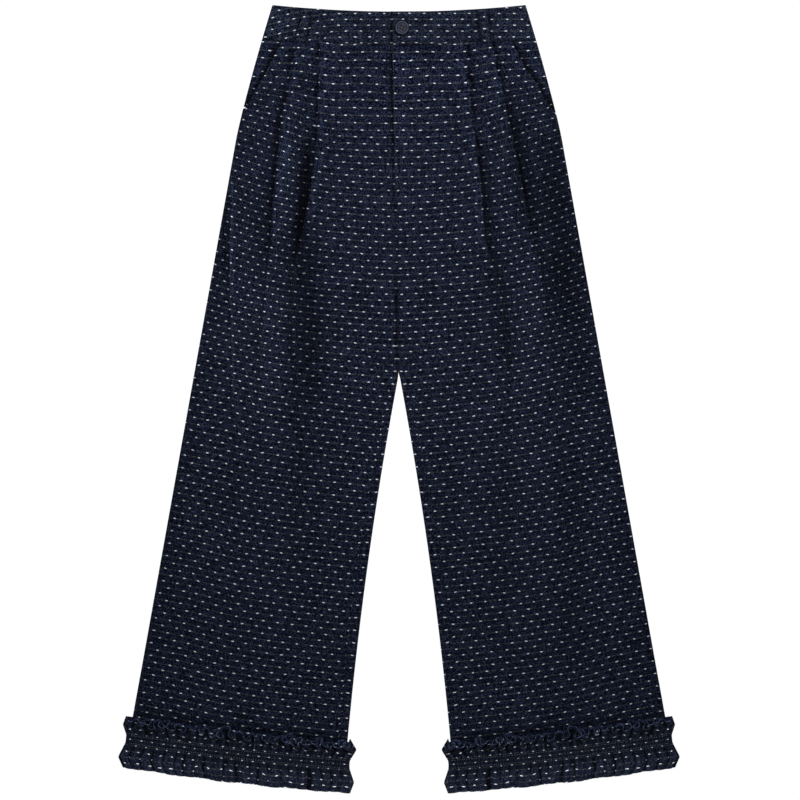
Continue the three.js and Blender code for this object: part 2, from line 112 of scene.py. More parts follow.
def area_light(name, place, size, watts):
    """A square lamp at place, size metres wide, turned towards the garment."""
    lamp = bpy.data.lights.new(name, "AREA")
    lamp.size = size
    lamp.energy = watts
    holder = bpy.data.objects.new(name, lamp)
    holder.location = place
    aim = -holder.location
    holder.rotation_euler = aim.to_track_quat("-Z", "Y").to_euler()
    bpy.context.scene.collection.objects.link(holder)


area_light("light_over_waist", (0.0, 2.2, 1.7), 1.0, 27)
area_light("light_over_middle", (0.0, 0.25, 1.15), 0.35, 9)
world = bpy.data.worlds.new("studio")
world.use_nodes = True
world.node_tree.nodes["Background"].inputs["Color"].default_value = (1, 1, 1, 1)
world.node_tree.nodes["Background"].inputs["Strength"].default_value = 0.11
bpy.context.scene.world = world
bpy.context.scene.view_settings.view_transform = "Standard"

# %% [markdown]
# ## The garment's sizes
#
# A pattern cutter works from a few measures. The layers lie 0.3 mm apart, the
# waist seam and the top edge dip in the middle, the side seam curves in over
# the hip, and each leg's hem slopes down towards the inner leg.

# %% Layers
# BAND is the doubled cloth of the waistband.
CLOTH = 1.1
GAP = 0.3
LAYER = CLOTH + GAP
BAND = 2.0
BACK_MIDDLE = CLOTH / 2
FRONT_MIDDLE = BACK_MIDDLE + LAYER
BACK_BAND_MIDDLE = LAYER + BAND / 2
FRONT_BAND_MIDDLE = BACK_BAND_MIDDLE + BAND + GAP
print("front band's middle lies at", FRONT_BAND_MIDDLE, "mm")

# %% Outline
# A panel's top edge stays SEAM short of the waistband's, and above the crotch
# the two legs press into each other by PRESSED on each side.
SEAM = 0.02
PRESSED = 0.15
SIDE = dict(u=203.75, y=323.75, flare=0.1788, hip=14.7, hip_height=162.5, hip_power=1.4)
INNER_LEG = dict(y=26, u=1.3, flare=0.186, bend=0.000104)
CROTCH_Y = 141
HEM_SLOPE = 32 / 274


def lerp(a, b, part):
    """The value a share part of the way from a to b."""
    return a + (b - a) * part


def ease(value, start, end):
    """0 up to start, 1 from end on, and the smooth cubic 3t^2 - 2t^3 between."""
    t = np.clip((value - start) / (end - start), 0, 1)
    return t * t * (3 - 2 * t)


def waist_y(u):
    """The waist seam: a parabola that dips in the middle."""
    return 443.75 + 5 * (u / 171) ** 2


def top_y(u):
    """The waistband's top edge: a deeper parabola."""
    return 483.75 + 8 * (u / 156) ** 2


def hem_y(u):
    """The hem line: straight, lower at the inner leg."""
    return -466 + HEM_SLOPE * (u - 65)


def row_y(share, u):
    """A row of a panel lies between the waist seam, share 0, and the hem, 1."""
    return lerp(waist_y(u), hem_y(u), share)


def side_u(y):
    """The side: a straight flare, less a power curve that draws in the hip."""
    above = np.maximum(0, (y - SIDE["y"]) / SIDE["hip_height"])
    return SIDE["u"] + SIDE["flare"] * (SIDE["y"] - y) - SIDE["hip"] * above ** SIDE["hip_power"]


print("half widths, waist and hem:", round(float(side_u(448)), 1), round(float(side_u(-434)), 1))

# %% Reading the tables
def read(table, column, y):
    """A column at heights y, on a smooth curve through the table's rows: each
    stretch is the cubic that leaves every row at the mean of the two slopes."""
    heights = np.array(table["y"], float)[::-1]
    values = np.array(table[column], float)[::-1]
    slopes = np.gradient(values, heights)
    y = np.clip(y, heights[0], heights[-1])
    low = np.clip(np.searchsorted(heights, y, side="right") - 1, 0, len(heights) - 2)
    length = heights[low + 1] - heights[low]
    t = (y - heights[low]) / length
    start = (2 * t**3 - 3 * t**2 + 1) * values[low] + (t**3 - 2 * t**2 + t) * length * slopes[low]
    end = (3 * t**2 - 2 * t**3) * values[low + 1] + (t**3 - t**2) * length * slopes[low + 1]
    return start + end


CENTRE_LINE = dict(
    y=[444, 374, 305, 236, 186, 161, CROTCH_Y, 110, 70, 49, 26],
    x=[-10.0, -8.4, -6.6, -3.4, -2.0, -2.2, -3.1, -4.2, -4.7, -2.2, 0],
)
# The shade columns give the strength of the painted shade beside each fold's edge.
PLEAT = dict(
    y=[446, 385, 330, 285, 240, 190, 140, 90, 20, -60, -150, -260, -400],
    turn=[180, 180, 178, 172, 155, 120, 80, 50, 34, 26, 17, 9, 3],
    radius=[0.7, 0.7, 0.7, 0.75, 0.8, 0.85, 1.7, 4.4, 9, 13, 20, 32, 40],
    depth=[20, 17, 12, 4.5, 1.2, 1, 0.5, 0.3, 0.3, 0.3, 0.3, 0.3, 0.3],
    run=[8, 10, 14, 22, 28, 34, 38, 42, 46, 50, 50, 50, 50],
    shade=[0.7, 0.8, 0.84, 0.86, 0.86, 0.6, 0.32, 0.18, 0.1, 0.06, 0.04, 0.02, 0],
)
SIDE_FOLD = dict(
    y=[446, 285, 217, 155, 92, 30, -84, -187, -330],
    turn=[3, 8, 33, 42, 38, 30, 20, 10, 3],
    radius=[3, 3, 6, 6, 7, 10, 14, 22, 30],
    depth=[0.3] * 9,
    run=[3, 8, 20, 26, 30, 34, 40, 44, 44],
    shade=[0, 0.2, 0.3, 0.26, 0.2, 0.16, 0.1, 0.06, 0],
)
print("tables:", len(PLEAT["y"]), "heights of the pleats,", len(SIDE_FOLD["y"]), "of the side fold")

# %% What differs between the halves
# Shares run down a panel, 0 at the waist seam and 1 at the hem. mouth_end is
# the share at which the pocket mouth closes, edge lists are distances from the
# middle, gape is how far the mouth stands open and wrap is the width of the
# strip that comes round the inner leg.
HALVES = dict(
    left=dict(
        side=-1,
        folds=[
            dict(shape=PLEAT, y=[446, 330, 280, 230, 186, 155, 100, 0, -84, -166, -400],
                 edge=[99.8, 103, 107.6, 117, 127, 133, 136, 129, 123, 132, 140]),
            dict(shape=PLEAT, y=[446, 386, 349, 299, 249, 199, 149, 60, -84, -400],
                 edge=[129.5, 137.8, 146.5, 152.5, 157.5, 161, 167, 176, 178, 200]),
            dict(shape=SIDE_FOLD, y=[446, 355, 300, 280, 217, 155, 92, 30, -84, -187, -400],
                 edge=[139, 168, 192, 204, 210, 211, 208, 208, 204, 206, 250]),
        ],
        mouth_end=0.0976,
        mouth=dict(y=[450, 410, 372, 360], edge=[145, 165, 186, 192], gape=[0, 0.6, 0.6, 0]),
        wrap=dict(y=[CROTCH_Y, -130, -466], width=[2.6, 12, 12]),
    ),
    right=dict(
        side=1,
        folds=[
            dict(shape=PLEAT, y=[446, 374, 311, 249, 199, 180, 130, 92, -21, -84, -400],
                 edge=[84, 90, 97, 104.8, 108, 114, 129, 135, 135, 134, 130]),
            dict(shape=PLEAT, y=[446, 411, 374, 311, 249, 199, 155, 92, 30, -84, -166, -400],
                 edge=[116.4, 123.4, 131.6, 145.5, 158, 168, 180, 188, 194, 197, 200, 222]),
        ],
        mouth_end=0.1059,
        mouth=dict(y=[450, 411, 390, 367, 354], edge=[138.5, 160, 174, 187, 197], gape=[0, 0.8, 2, 1, 0]),
        wrap=dict(y=[CROTCH_Y, -130, -466], width=[2.6, 12, 16.5]),
    ),
)
# The fly laps down to the share end and lies level again at closed.
FLY = dict(underlap=10, end=0.1916, closed=0.209, flat=14, slope=12)
MOUTH_ROW_STEP = 0.0033
# Panels lie over the back belt loops at the waist and over the back ruffle at
# the hem. Both lifts are given by shares.
WAIST_LIFT_END = 0.055
HEM_LIFT = dict(height=3.9, start=0.87, end=0.953)
INSEAM_GAP = 2 * GAP
WRAP_START = 10
print("folds:", {name: len(half["folds"]) for name, half in HALVES.items()})

# %% [markdown]
# ## The weave
#
# The cloth is a dark navy suiting with rows of short pale dashes. Every second
# row is moved by half the distance between two dashes, and a faint, broken
# pale thread runs along each row. The figure could be a picture wrapped round
# the garment, or thousands of small threads. Here it is worked out by nodes,
# so it stays sharp at any distance and adds no faces. It is drawn in the
# piece's own UV map, whose u counts dashes along a row and whose v counts
# rows, so it bends with the cloth. One node group holds it, and each material
# places it with its own values.

# %% A helper for node trees
class Nodes:
    """Adds nodes to a tree and joins them, so that a formula reads in order."""

    def __init__(self, tree):
        self.tree = tree

    def node(self, kind, **settings):
        """A new node with the given settings."""
        made = self.tree.nodes.new(kind)
        for name, value in settings.items():
            setattr(made, name, value)
        return made

    def put(self, socket, value):
        """Joins a socket to another one, or gives it a plain value."""
        if isinstance(value, bpy.types.NodeSocket):
            self.tree.links.new(value, socket)
        else:
            socket.default_value = value

    def math(self, operation, *values):
        """The result of one operation on numbers or sockets."""
        made = self.node("ShaderNodeMath", operation=operation)
        for socket, value in zip(made.inputs, values):
            self.put(socket, value)
        return made.outputs[0]

    def mix(self, part, a, b, kind="MIX"):
        """Colour a turned into b by a share part, or multiplied by or added to b."""
        made = self.node("ShaderNodeMix", data_type="RGBA", blend_type=kind)
        self.put(made.inputs["Factor"], part)
        self.put(made.inputs[6], a)
        self.put(made.inputs[7], b)
        return made.outputs[2]

    def remap(self, value, low, high, to_low=0.0, to_high=1.0, kind="SMOOTHSTEP"):
        """The range low to high carried over to another range, and held outside."""
        made = self.node("ShaderNodeMapRange", interpolation_type=kind)
        for socket, number in zip(made.inputs, (value, low, high, to_low, to_high)):
            self.put(socket, number)
        return made.outputs[0]

    def noise(self, vector, scale, detail=2.0):
        """Soft noise from 0 to 1 at a place."""
        made = self.node("ShaderNodeTexNoise")
        self.put(made.inputs["Vector"], vector)
        made.inputs["Scale"].default_value = scale
        made.inputs["Detail"].default_value = detail
        return made.outputs["Fac"]

    def vector(self, x=0.0, y=0.0, z=0.0):
        """Three numbers or sockets as one place."""
        made = self.node("ShaderNodeCombineXYZ")
        for socket, value in zip(made.inputs, (x, y, z)):
            self.put(socket, value)
        return made.outputs[0]


print("node helper ready")

# %% What the weave looks like
# GROUND is added everywhere: as dark as the cloth gets between paler flecks.
GROUND = (0.0, 0.0002, 0.0024, 1)
# Rows lie further apart from the hip up. Over these rows a dash's share of its
# row shrinks to THINNER, so that it stays as thin as below.
THINNER_ROWS = (84, 114)
THINNER = 0.76
# How far a dash may lie off its place, lean, differ in length and fray.
DASH_VARIES = dict(shift=0.14, lean=1.0, shortest=0.82, longer=0.4, fray=0.9, fray_scale=90.0)
# A cell is one dash wide and one row high. Flecks fill a grid of so many across
# and down it. Slubs, patches and the breaks of the thread are noise with about
# so many waves across and down it. The bump has two sines, 8 waves a row and 24
# a column, given here in radians.
PICKS_A_CELL = (24.0, 12.0)
SLUBS_A_CELL = (24.0, 40.0)
PATCHES_A_CELL = (9.0, 6.5)
BREAKS_A_CELL = (11.0, 7.3)
RIB_TURNS, PICK_TURNS = 50.3, 151.0
WEAVE_INPUTS = [
    ("Cloth", "NodeSocketColor", (0.012, 0.015, 0.026, 1)),
    ("Dash", "NodeSocketColor", (0.72, 0.77, 0.84, 1)),
    ("Thread", "NodeSocketColor", (0.13, 0.128, 0.128, 1)),
    ("Dash Length", "NodeSocketFloat", 0.082),
    ("Dash Thickness", "NodeSocketFloat", 0.075),
    ("Thread Amount", "NodeSocketFloat", 0.43),
    ("Grain Amount", "NodeSocketFloat", 1.0),
]
WEAVE_OUTPUTS = [
    ("Color", "NodeSocketColor"),
    ("Height", "NodeSocketFloat"),
    ("Dash Mask", "NodeSocketFloat"),
]
print("the weave takes", [name for name, _, _ in WEAVE_INPUTS])

# %% Dashes, threads and grain
def dash_mask(n, inputs, uv, column, row, row_number):
    """1 on a dash: where |across| / length to the 4th plus |along| / thickness
    squared is under 1, measured from the middle of its cell and moved a little
    by numbers that belong to the cell. Also gives the distance along."""
    half_drop = n.math("MULTIPLY", n.math("MODULO", n.math("ABSOLUTE", row_number), 2.0), 0.5)
    shifted = n.math("ADD", column, half_drop)
    cell = n.vector(n.math("FLOOR", shifted), row_number, 3.0)
    chance = n.node("ShaderNodeTexWhiteNoise", noise_dimensions="3D")
    n.put(chance.inputs["Vector"], cell)
    lots = n.node("ShaderNodeSeparateColor")
    n.put(lots.inputs[0], chance.outputs["Color"])
    first, second, third = lots.outputs[0], lots.outputs[1], lots.outputs[2]

    across = n.math("SUBTRACT", n.math("FRACT", shifted), 0.5)
    shift = n.math("MULTIPLY", n.math("SUBTRACT", first, 0.5), DASH_VARIES["shift"])
    across = n.math("ADD", across, shift)
    along = n.math("SUBTRACT", n.math("FRACT", row), 0.5)
    lean = n.math("MULTIPLY", n.math("SUBTRACT", second, 0.5), DASH_VARIES["lean"])
    leaning = n.math("ADD", along, n.math("MULTIPLY", across, lean))
    longer = n.math("ADD", DASH_VARIES["shortest"], n.math("MULTIPLY", third, DASH_VARIES["longer"]))
    length = n.math("MULTIPLY", inputs["Dash Length"], longer)
    fray = n.math("SUBTRACT", n.noise(uv, DASH_VARIES["fray_scale"]), 0.5)
    fray = n.math("MULTIPLY", fray, DASH_VARIES["fray"])
    far_across = n.math("POWER", n.math("ABSOLUTE", n.math("DIVIDE", across, length)), 4.0)
    thinner = n.remap(row, *THINNER_ROWS, 1.0, THINNER, "LINEAR")
    thickness = n.math("MULTIPLY", inputs["Dash Thickness"], thinner)
    far_along = n.math("POWER", n.math("ABSOLUTE", n.math("DIVIDE", leaning, thickness)), 2.0)
    far = n.math("ADD", n.math("ADD", far_across, far_along), fray)
    return n.remap(far, 0.65, 1.35, 1.0, 0.0), along


def scaled(n, column, row, scale, z=0.0):
    """A place in the cell's own units, times a number across and one down."""
    return n.vector(n.math("MULTIPLY", column, scale[0]), n.math("MULTIPLY", row, scale[1]), z)


def row_thread(n, column, row_number, along):
    """1 on the pale thread in the middle of a row, where noise doesn't break it."""
    thin = n.remap(n.math("ABSOLUTE", along), 0.03, 0.12, 1.0, 0.0)
    broken = n.noise(scaled(n, column, row_number, BREAKS_A_CELL), 1.0)
    return n.math("MULTIPLY", thin, n.remap(broken, 0.4, 0.64))


def cloth_grain(n, column, row):
    """How light the ground is: each pick's own random number to the 6th power,
    which leaves few bright ones, plus slubs, times slow patches."""
    pick_column = n.math("FLOOR", n.math("MULTIPLY", column, PICKS_A_CELL[0]))
    pick_row = n.math("FLOOR", n.math("MULTIPLY", row, PICKS_A_CELL[1]))
    pick = n.vector(pick_column, pick_row)
    speckle = n.node("ShaderNodeTexWhiteNoise", noise_dimensions="2D")
    n.put(speckle.inputs["Vector"], pick)
    slub = n.noise(scaled(n, column, row, SLUBS_A_CELL), 1.0, 3.0)
    coarse = n.noise(scaled(n, column, row, PATCHES_A_CELL, 5.0), 1.0, 4.0)
    flecks = n.math("MULTIPLY", n.math("POWER", speckle.outputs["Value"], 6.0), 6.8)
    grain = n.math("ADD", flecks, n.remap(slub, 0.4, 0.8, 0.0, 0.45))
    return n.math("MULTIPLY", grain, n.remap(coarse, 0.3, 0.7, 1.0, 1.16, "LINEAR"))


print("dashes differ by", DASH_VARIES)

# %% The dashed weave as a node group
def dashed_weave():
    """A group that turns the UV map into the figure's colour and height."""
    group = bpy.data.node_groups.new("dashed_weave", "ShaderNodeTree")
    for name, kind, value in WEAVE_INPUTS:
        socket = group.interface.new_socket(name=name, in_out="INPUT", socket_type=kind)
        socket.default_value = value
    for name, kind in WEAVE_OUTPUTS:
        group.interface.new_socket(name=name, in_out="OUTPUT", socket_type=kind)
    n = Nodes(group)
    inputs = n.node("NodeGroupInput").outputs
    outputs = n.node("NodeGroupOutput").inputs
    uv = n.node("ShaderNodeUVMap", uv_map="weave").outputs[0]
    place = n.node("ShaderNodeSeparateXYZ")
    n.put(place.inputs[0], uv)
    column, row = place.outputs[0], place.outputs[1]
    row_number = n.math("FLOOR", row)

    dash, along = dash_mask(n, inputs, uv, column, row, row_number)
    thread = n.math("MULTIPLY", row_thread(n, column, row_number, along), inputs["Thread Amount"])
    grained = n.mix(inputs["Grain Amount"], inputs["Cloth"], cloth_grain(n, column, row), "MULTIPLY")
    dyed = n.mix(1.0, grained, GROUND, "ADD")
    base = n.mix(thread, dyed, inputs["Thread"])
    n.put(outputs["Color"], n.mix(n.math("MULTIPLY", dash, 0.93), base, inputs["Dash"]))
    ribs = n.math("SINE", n.math("MULTIPLY", row, RIB_TURNS))
    picks = n.math("SINE", n.math("MULTIPLY", column, PICK_TURNS))
    cross = n.math("MULTIPLY", n.math("ADD", ribs, picks), 0.12)
    raised = n.math("ADD", n.math("MULTIPLY", dash, 0.8), n.math("MULTIPLY", thread, 0.6))
    n.put(outputs["Height"], n.math("ADD", raised, cross))
    n.put(outputs["Dash Mask"], dash)
    return group


WEAVE = dashed_weave()
print("weave group:", len(WEAVE.nodes), "nodes")

# %% Cloth materials
def cloth(name, colour, dash_thickness, grain=1.0):
    """Matte cloth: the weave's colour, times the painted light and shade that the mesh
    carries as fold_shade and a slow cloudy change, with the weave's height as bump."""
    made = bpy.data.materials.new(name)
    made.use_nodes = True
    n = Nodes(made.node_tree)
    shader = made.node_tree.nodes["Principled BSDF"]
    weave = n.node("ShaderNodeGroup", node_tree=WEAVE)
    weave.inputs["Cloth"].default_value = (*colour, 1)
    weave.inputs["Dash Thickness"].default_value = dash_thickness
    weave.inputs["Grain Amount"].default_value = grain
    shade = n.node("ShaderNodeAttribute", attribute_name="fold_shade").outputs["Fac"]
    where = n.node("ShaderNodeTexCoord").outputs["Object"]
    clouds = n.remap(n.noise(where, 14.0, 3.0), 0.3, 0.7, 0.94, 1.06, "LINEAR")
    tone = n.math("MULTIPLY", shade, clouds)
    n.put(shader.inputs["Base Color"], n.mix(1.0, weave.outputs["Color"], tone, "MULTIPLY"))
    n.put(shader.inputs["Roughness"], n.remap(weave.outputs["Dash Mask"], 0, 1, 0.92, 0.7, "LINEAR"))
    bump = n.node("ShaderNodeBump")
    bump.inputs["Strength"].default_value = 0.55
    bump.inputs["Distance"].default_value = 0.0004
    n.put(bump.inputs["Height"], weave.outputs["Height"])
    n.put(shader.inputs["Normal"], bump.outputs[0])
    shader.inputs["Specular IOR Level"].default_value = 0.03
    shader.inputs["Sheen Weight"].default_value = 0.015
    shader.inputs["Sheen Roughness"].default_value = 0.5
    return made


TROUSER_CLOTH = cloth("navy_dashed_suiting", (0.0069, 0.0096, 0.0196), 0.075)
# The band's copy of the suiting is painted lighter, as painted light at the waist.
BAND_CLOTH = cloth("navy_dashed_band", (0.0084, 0.0118, 0.0220), 0.068)
RUFFLE_CLOTH = cloth("navy_dashed_ruffle", (0.0078, 0.0104, 0.0190), 0.063, grain=0.55)
print("materials:", [m.name for m in bpy.data.materials])

# %% [markdown]
# ## A wall of cloth from a grid
#
# A layer of cloth could be a plane with a Solidify modifier. Here the wall is
# worked out whole instead: a grid of points on its middle, moved half a
# thickness out along the surface's own direction on each side, with the two
# long edges rounded over. It is closed, so it is a solid from every side.

# %% Wall maker
RIM_STEPS = 3
RIM_BULGE = 0.6


def surface_normals(grid):
    """Unit normals of a grid of points: the cross product of the steps along
    its two directions."""
    along = np.gradient(grid, axis=0)
    across = np.gradient(grid, axis=1)
    normals = np.cross(across, along)
    return normals / np.maximum(np.linalg.norm(normals, axis=2, keepdims=True), 1e-9)


def wall(name, grid, uv, shade, material, thickness=CLOTH, side=1):
    """A closed wall round grid, an array of rows x points x 3 in millimetres.
    Each row becomes a ring: the face, a half circle over the rim, the back
    and a half circle home. Rings are joined in turn and the two ends capped."""
    rows, points = grid.shape[:2]
    normals = surface_normals(grid) * side
    half = thickness / 2
    out_end = grid[:, -1] - grid[:, -2]
    out_start = grid[:, 0] - grid[:, 1]
    rims = []
    for edge, out, turn in [(grid[:, -1], out_end, 1), (grid[:, 0], out_start, -1)]:
        normal = normals[:, -1] if turn == 1 else normals[:, 0]
        out = out / np.maximum(np.linalg.norm(out, axis=1, keepdims=True), 1e-9)
        angles = np.linspace(0, np.pi, RIM_STEPS + 2)[1:-1]
        arcs = [edge + half * (turn * np.cos(a) * normal + RIM_BULGE * np.sin(a) * out) for a in angles]
        rims.append(np.stack(arcs, axis=1))
    face, back = grid + normals * half, grid - normals * half
    ring = np.concatenate([face, rims[0], back[:, ::-1], rims[1]], axis=1)
    size = ring.shape[1]
    start, stop = np.zeros((rows, RIM_STEPS), int), np.full((rows, RIM_STEPS), points - 1)
    order = np.concatenate([np.arange(points), stop[0], np.arange(points)[::-1], start[0]])
    flat_uv = uv[:, order].reshape(-1, 2)
    flat_shade = shade[:, order].reshape(-1)

    index = np.arange(rows * size).reshape(rows, size)
    here, there = index[:-1], index[1:]
    quads = np.stack([here, np.roll(here, -1, 1), np.roll(there, -1, 1), there], axis=2).reshape(-1, 4)
    if side > 0:
        quads = quads[:, ::-1]
    caps = [index[0], index[-1][::-1]] if side > 0 else [index[0][::-1], index[-1]]
    mesh = bpy.data.meshes.new(name)
    mesh.from_pydata((ring.reshape(-1, 3) * MM).tolist(), [], quads.tolist() + cap_strips(caps, points))
    return finish_mesh(name, mesh, flat_uv, flat_shade, material, len(quads))


def cap_strips(caps, points):
    """Faces that close an end ring: a strip of quads between its face and its
    back, and one polygon over each rounded rim."""
    faces = []
    for ring in caps:
        ring = ring.tolist()
        reverse = ring[0] > ring[1]
        if reverse:
            ring = ring[::-1]
        face, back = ring[:points], ring[points + RIM_STEPS:2 * points + RIM_STEPS][::-1]
        strips = [[a, b, c, d] for a, b, c, d in zip(face[:-1], face[1:], back[1:], back[:-1])]
        strips.append([face[-1], *ring[points:points + RIM_STEPS], back[-1]])
        strips.append([face[0], back[0], *ring[2 * points + RIM_STEPS:]])
        faces += [f[::-1] for f in strips] if reverse else strips
    return faces


def finish_mesh(name, mesh, uv, shade, material, smooth_faces):
    """Gives a mesh its UV map, fold shade, smooth faces and material, and
    makes its object at the origin."""
    corners = np.zeros(len(mesh.loops), int)
    mesh.loops.foreach_get("vertex_index", corners)
    layer = mesh.uv_layers.new(name="weave")
    layer.data.foreach_set("uv", uv[corners].astype(np.float32).ravel())
    tone = mesh.attributes.new("fold_shade", "FLOAT", "POINT")
    tone.data.foreach_set("value", shade.astype(np.float32))
    smooth = np.arange(len(mesh.polygons)) < smooth_faces
    mesh.polygons.foreach_set("use_smooth", smooth)
    mesh.materials.append(material)
    mesh.update()
    made = bpy.data.objects.new(name, mesh)
    bpy.context.scene.collection.objects.link(made)
    return made


print("wall maker ready, rims of", RIM_STEPS, "steps")

# %% [markdown]
# ## Front panels
#
# A front panel is one width of cloth, pleated into the waistband. Each row of
# the surface is a section from the middle to the side: it slopes up to a
# fold's edge, turns under, runs back below itself and turns out again. At the
# waist the turn is a full half circle, a pressed pleat. Lower down it opens,
# and from the hip it is a soft step that fades towards the hem.

# %% The parts of a section
MEET_STEPS = 24


def meet(share, edge):
    """The u at which each row meets an edge given as a function of height. Rows
    curve, so each needs the u and each u the row: a few turns settle both."""
    u = np.full_like(share, 120.0)
    for _ in range(MEET_STEPS):
        u = edge(row_y(share, u))
    return u


def half_gap(y):
    """Half the gap between the legs: the inner leg's parabola. Above where it
    starts the two legs press a little into each other."""
    drop = INNER_LEG["y"] - y
    return np.maximum(-PRESSED, INNER_LEG["u"] + INNER_LEG["flare"] * drop - INNER_LEG["bend"] * drop**2)


def row_lift(share):
    """How far rows rise over the back belt loops and over the back ruffle."""
    waist = LAYER * (1 - ease(share, 0, WAIST_LIFT_END))
    return waist + HEM_LIFT["height"] * ease(share, HEM_LIFT["start"], HEM_LIFT["end"])


def span(a, b, count, crowd=1.0):
    """count columns that run from just past a to b, evenly or, with a crowd
    over 1, closer together near a."""
    parts = np.linspace(0, 1, count + 1)[1:] ** crowd
    return a[:, None] + (b - a)[:, None] * parts


class Section:
    """Collects the columns of a surface from the middle out to the side."""

    def __init__(self):
        self.u, self.z = [], []

    def add(self, u, z):
        """Adds one column, or an array of them, further out."""
        self.u.append(u if u.ndim == 2 else u[:, None])
        self.z.append(z if z.ndim == 2 else z[:, None])

    def last(self):
        """The u and z of the outermost column so far."""
        return self.u[-1][:, -1], self.z[-1][:, -1]

    def arrays(self):
        """All columns side by side."""
        return np.concatenate(self.u, axis=1), np.concatenate(self.z, axis=1)


print("section helpers ready")

# %% A fold
# Columns in a fold: the flat before it, its rise, its crest, each of its two
# turns and the run underneath. CROWD packs columns towards the fold before it.
FLAT, RISE, CREST, TURN, UNDER = 8, 20, 4, 10, 5
CROWD = 1.7
# A fold's painted shade has a sharp and a wide part, and its crest a little painted highlight.
SHARP_PART, SHARP_FADE, WIDE_FADE = 0.72, 2.4, 13.0
CREST_LIGHT, CREST_FADE = 0.3, 4


def add_fold(section, fold, share, base, clear_of):
    """One fold: a smooth rise, an arc of the fold's radius through its turn, a
    straight run of its depth, and the reverse arc back to the base."""
    edge = np.full_like(share, 150.0)
    for _ in range(3):
        edge = read(fold, "edge", row_y(share, edge))
    y = row_y(share, edge)
    shape = {name: read(fold["shape"], name, y) for name in ("turn", "radius", "depth", "run")}
    turn, radius, depth = np.radians(shape["turn"]), shape["radius"], shape["depth"]
    drop = 2 * radius * (1 - np.cos(turn)) + depth * np.sin(turn)
    start = edge - (radius + CLOTH / 2) * np.sin(np.minimum(turn, np.pi / 2))
    under = start + 2 * radius * np.sin(turn) + depth * np.cos(turn) - radius
    folded = ease(turn, np.radians(80), np.radians(100))
    rise_end = np.minimum(start - 1.5, lerp(start - 1.5, under - CLOTH / 2 - GAP, folded))
    rise_start = np.maximum(rise_end - shape["run"], np.minimum(clear_of, rise_end - 1))

    section.add(span(section.last()[0], rise_start, FLAT, CROWD), span(section.last()[1], base, FLAT))
    parts = np.linspace(0, 1, RISE + 1)[1:]
    slope = 3 * parts**2 - 2 * parts**3
    section.add(span(rise_start, rise_end, RISE), base[:, None] + drop[:, None] * slope)
    section.add(span(rise_end, start, CREST), span(base + drop, base + drop, CREST))

    angles = turn[:, None] * np.linspace(0, 1, TURN + 1)[1:]
    out, down = radius[:, None] * np.sin(angles), radius[:, None] * (1 - np.cos(angles))
    section.add(start[:, None] + out, (base + drop)[:, None] - down)
    u, z = section.last()
    section.add(span(u, u + depth * np.cos(turn), UNDER), span(z, z - depth * np.sin(turn), UNDER))
    u, z = section.last()
    angles = turn[:, None] * np.linspace(1, 0, TURN + 1)[1:]
    turn, radius = turn[:, None], radius[:, None]
    section.add(u[:, None] + radius * (np.sin(turn) - np.sin(angles)),
                z[:, None] - radius * (np.cos(angles) - np.cos(turn)))
    return np.maximum(edge, section.last()[0]) + 1


def fold_shade(half, share, u):
    """The painted shade that a fold's edge leaves on the cloth just outside it: a
    sharp part and a wide part that fade exponentially with the distance, and
    a little painted highlight on the crest inside it."""
    tone = np.ones_like(u)
    for fold in half["folds"]:
        y = row_y(share[:, None], u)
        beyond = u - read(fold, "edge", y)
        depth = read(fold["shape"], "shade", y)
        out = np.maximum(beyond, 0)
        dark = SHARP_PART * np.exp(-out / SHARP_FADE) + (1 - SHARP_PART) * np.exp(-out / WIDE_FADE)
        tone *= 1 - depth * np.where(beyond > 0, dark, 0)
        crest = np.exp(-((beyond + CREST_FADE) / CREST_FADE) ** 2) * (beyond <= 0)
        tone *= 1 + CREST_LIGHT * depth * crest
    return tone


print("a fold has", FLAT + RISE + CREST + 2 * TURN + UNDER, "columns")

# %% Where a panel ends at the side
def mouth_u(half, share):
    """Where each row meets the pocket mouth."""
    return meet(share, lambda y: read(half["mouth"], "edge", y))


def side_end(half, share, clear_of):
    """Above the end of the pocket mouth a front stops on the mouth, lifted off
    the facing. Below it, it stops at the side seam."""
    is_open = share < half["mouth_end"]
    u = np.where(is_open, mouth_u(half, share), meet(share, side_u))
    gape = np.where(is_open, read(half["mouth"], "gape", row_y(share, u)), 0)
    lift = (LAYER + gape) * (1 - ease(share, half["mouth_end"], 0.17))
    lift_end = np.minimum(np.maximum(u - 13, clear_of + 4), u - 4.5)
    return is_open, u, lift, np.minimum(np.maximum(u - 24, clear_of), lift_end - 1), lift_end


def roll_down(end, top, floor, thickness=CLOTH, steps=9):
    """The section's last columns: a quarter circle down round the side and a
    short straight to the floor."""
    radius = 1.2 + (thickness - CLOTH) / 2
    last = end - thickness / 2
    angles = np.linspace(0, np.pi / 2, steps)
    u = last[:, None] - radius * (1 - np.sin(angles))
    z = top[:, None] - radius * (1 - np.cos(angles))
    return np.hstack([u, span(last, last, 3)]), np.hstack([z, span(top - radius, floor, 3)])


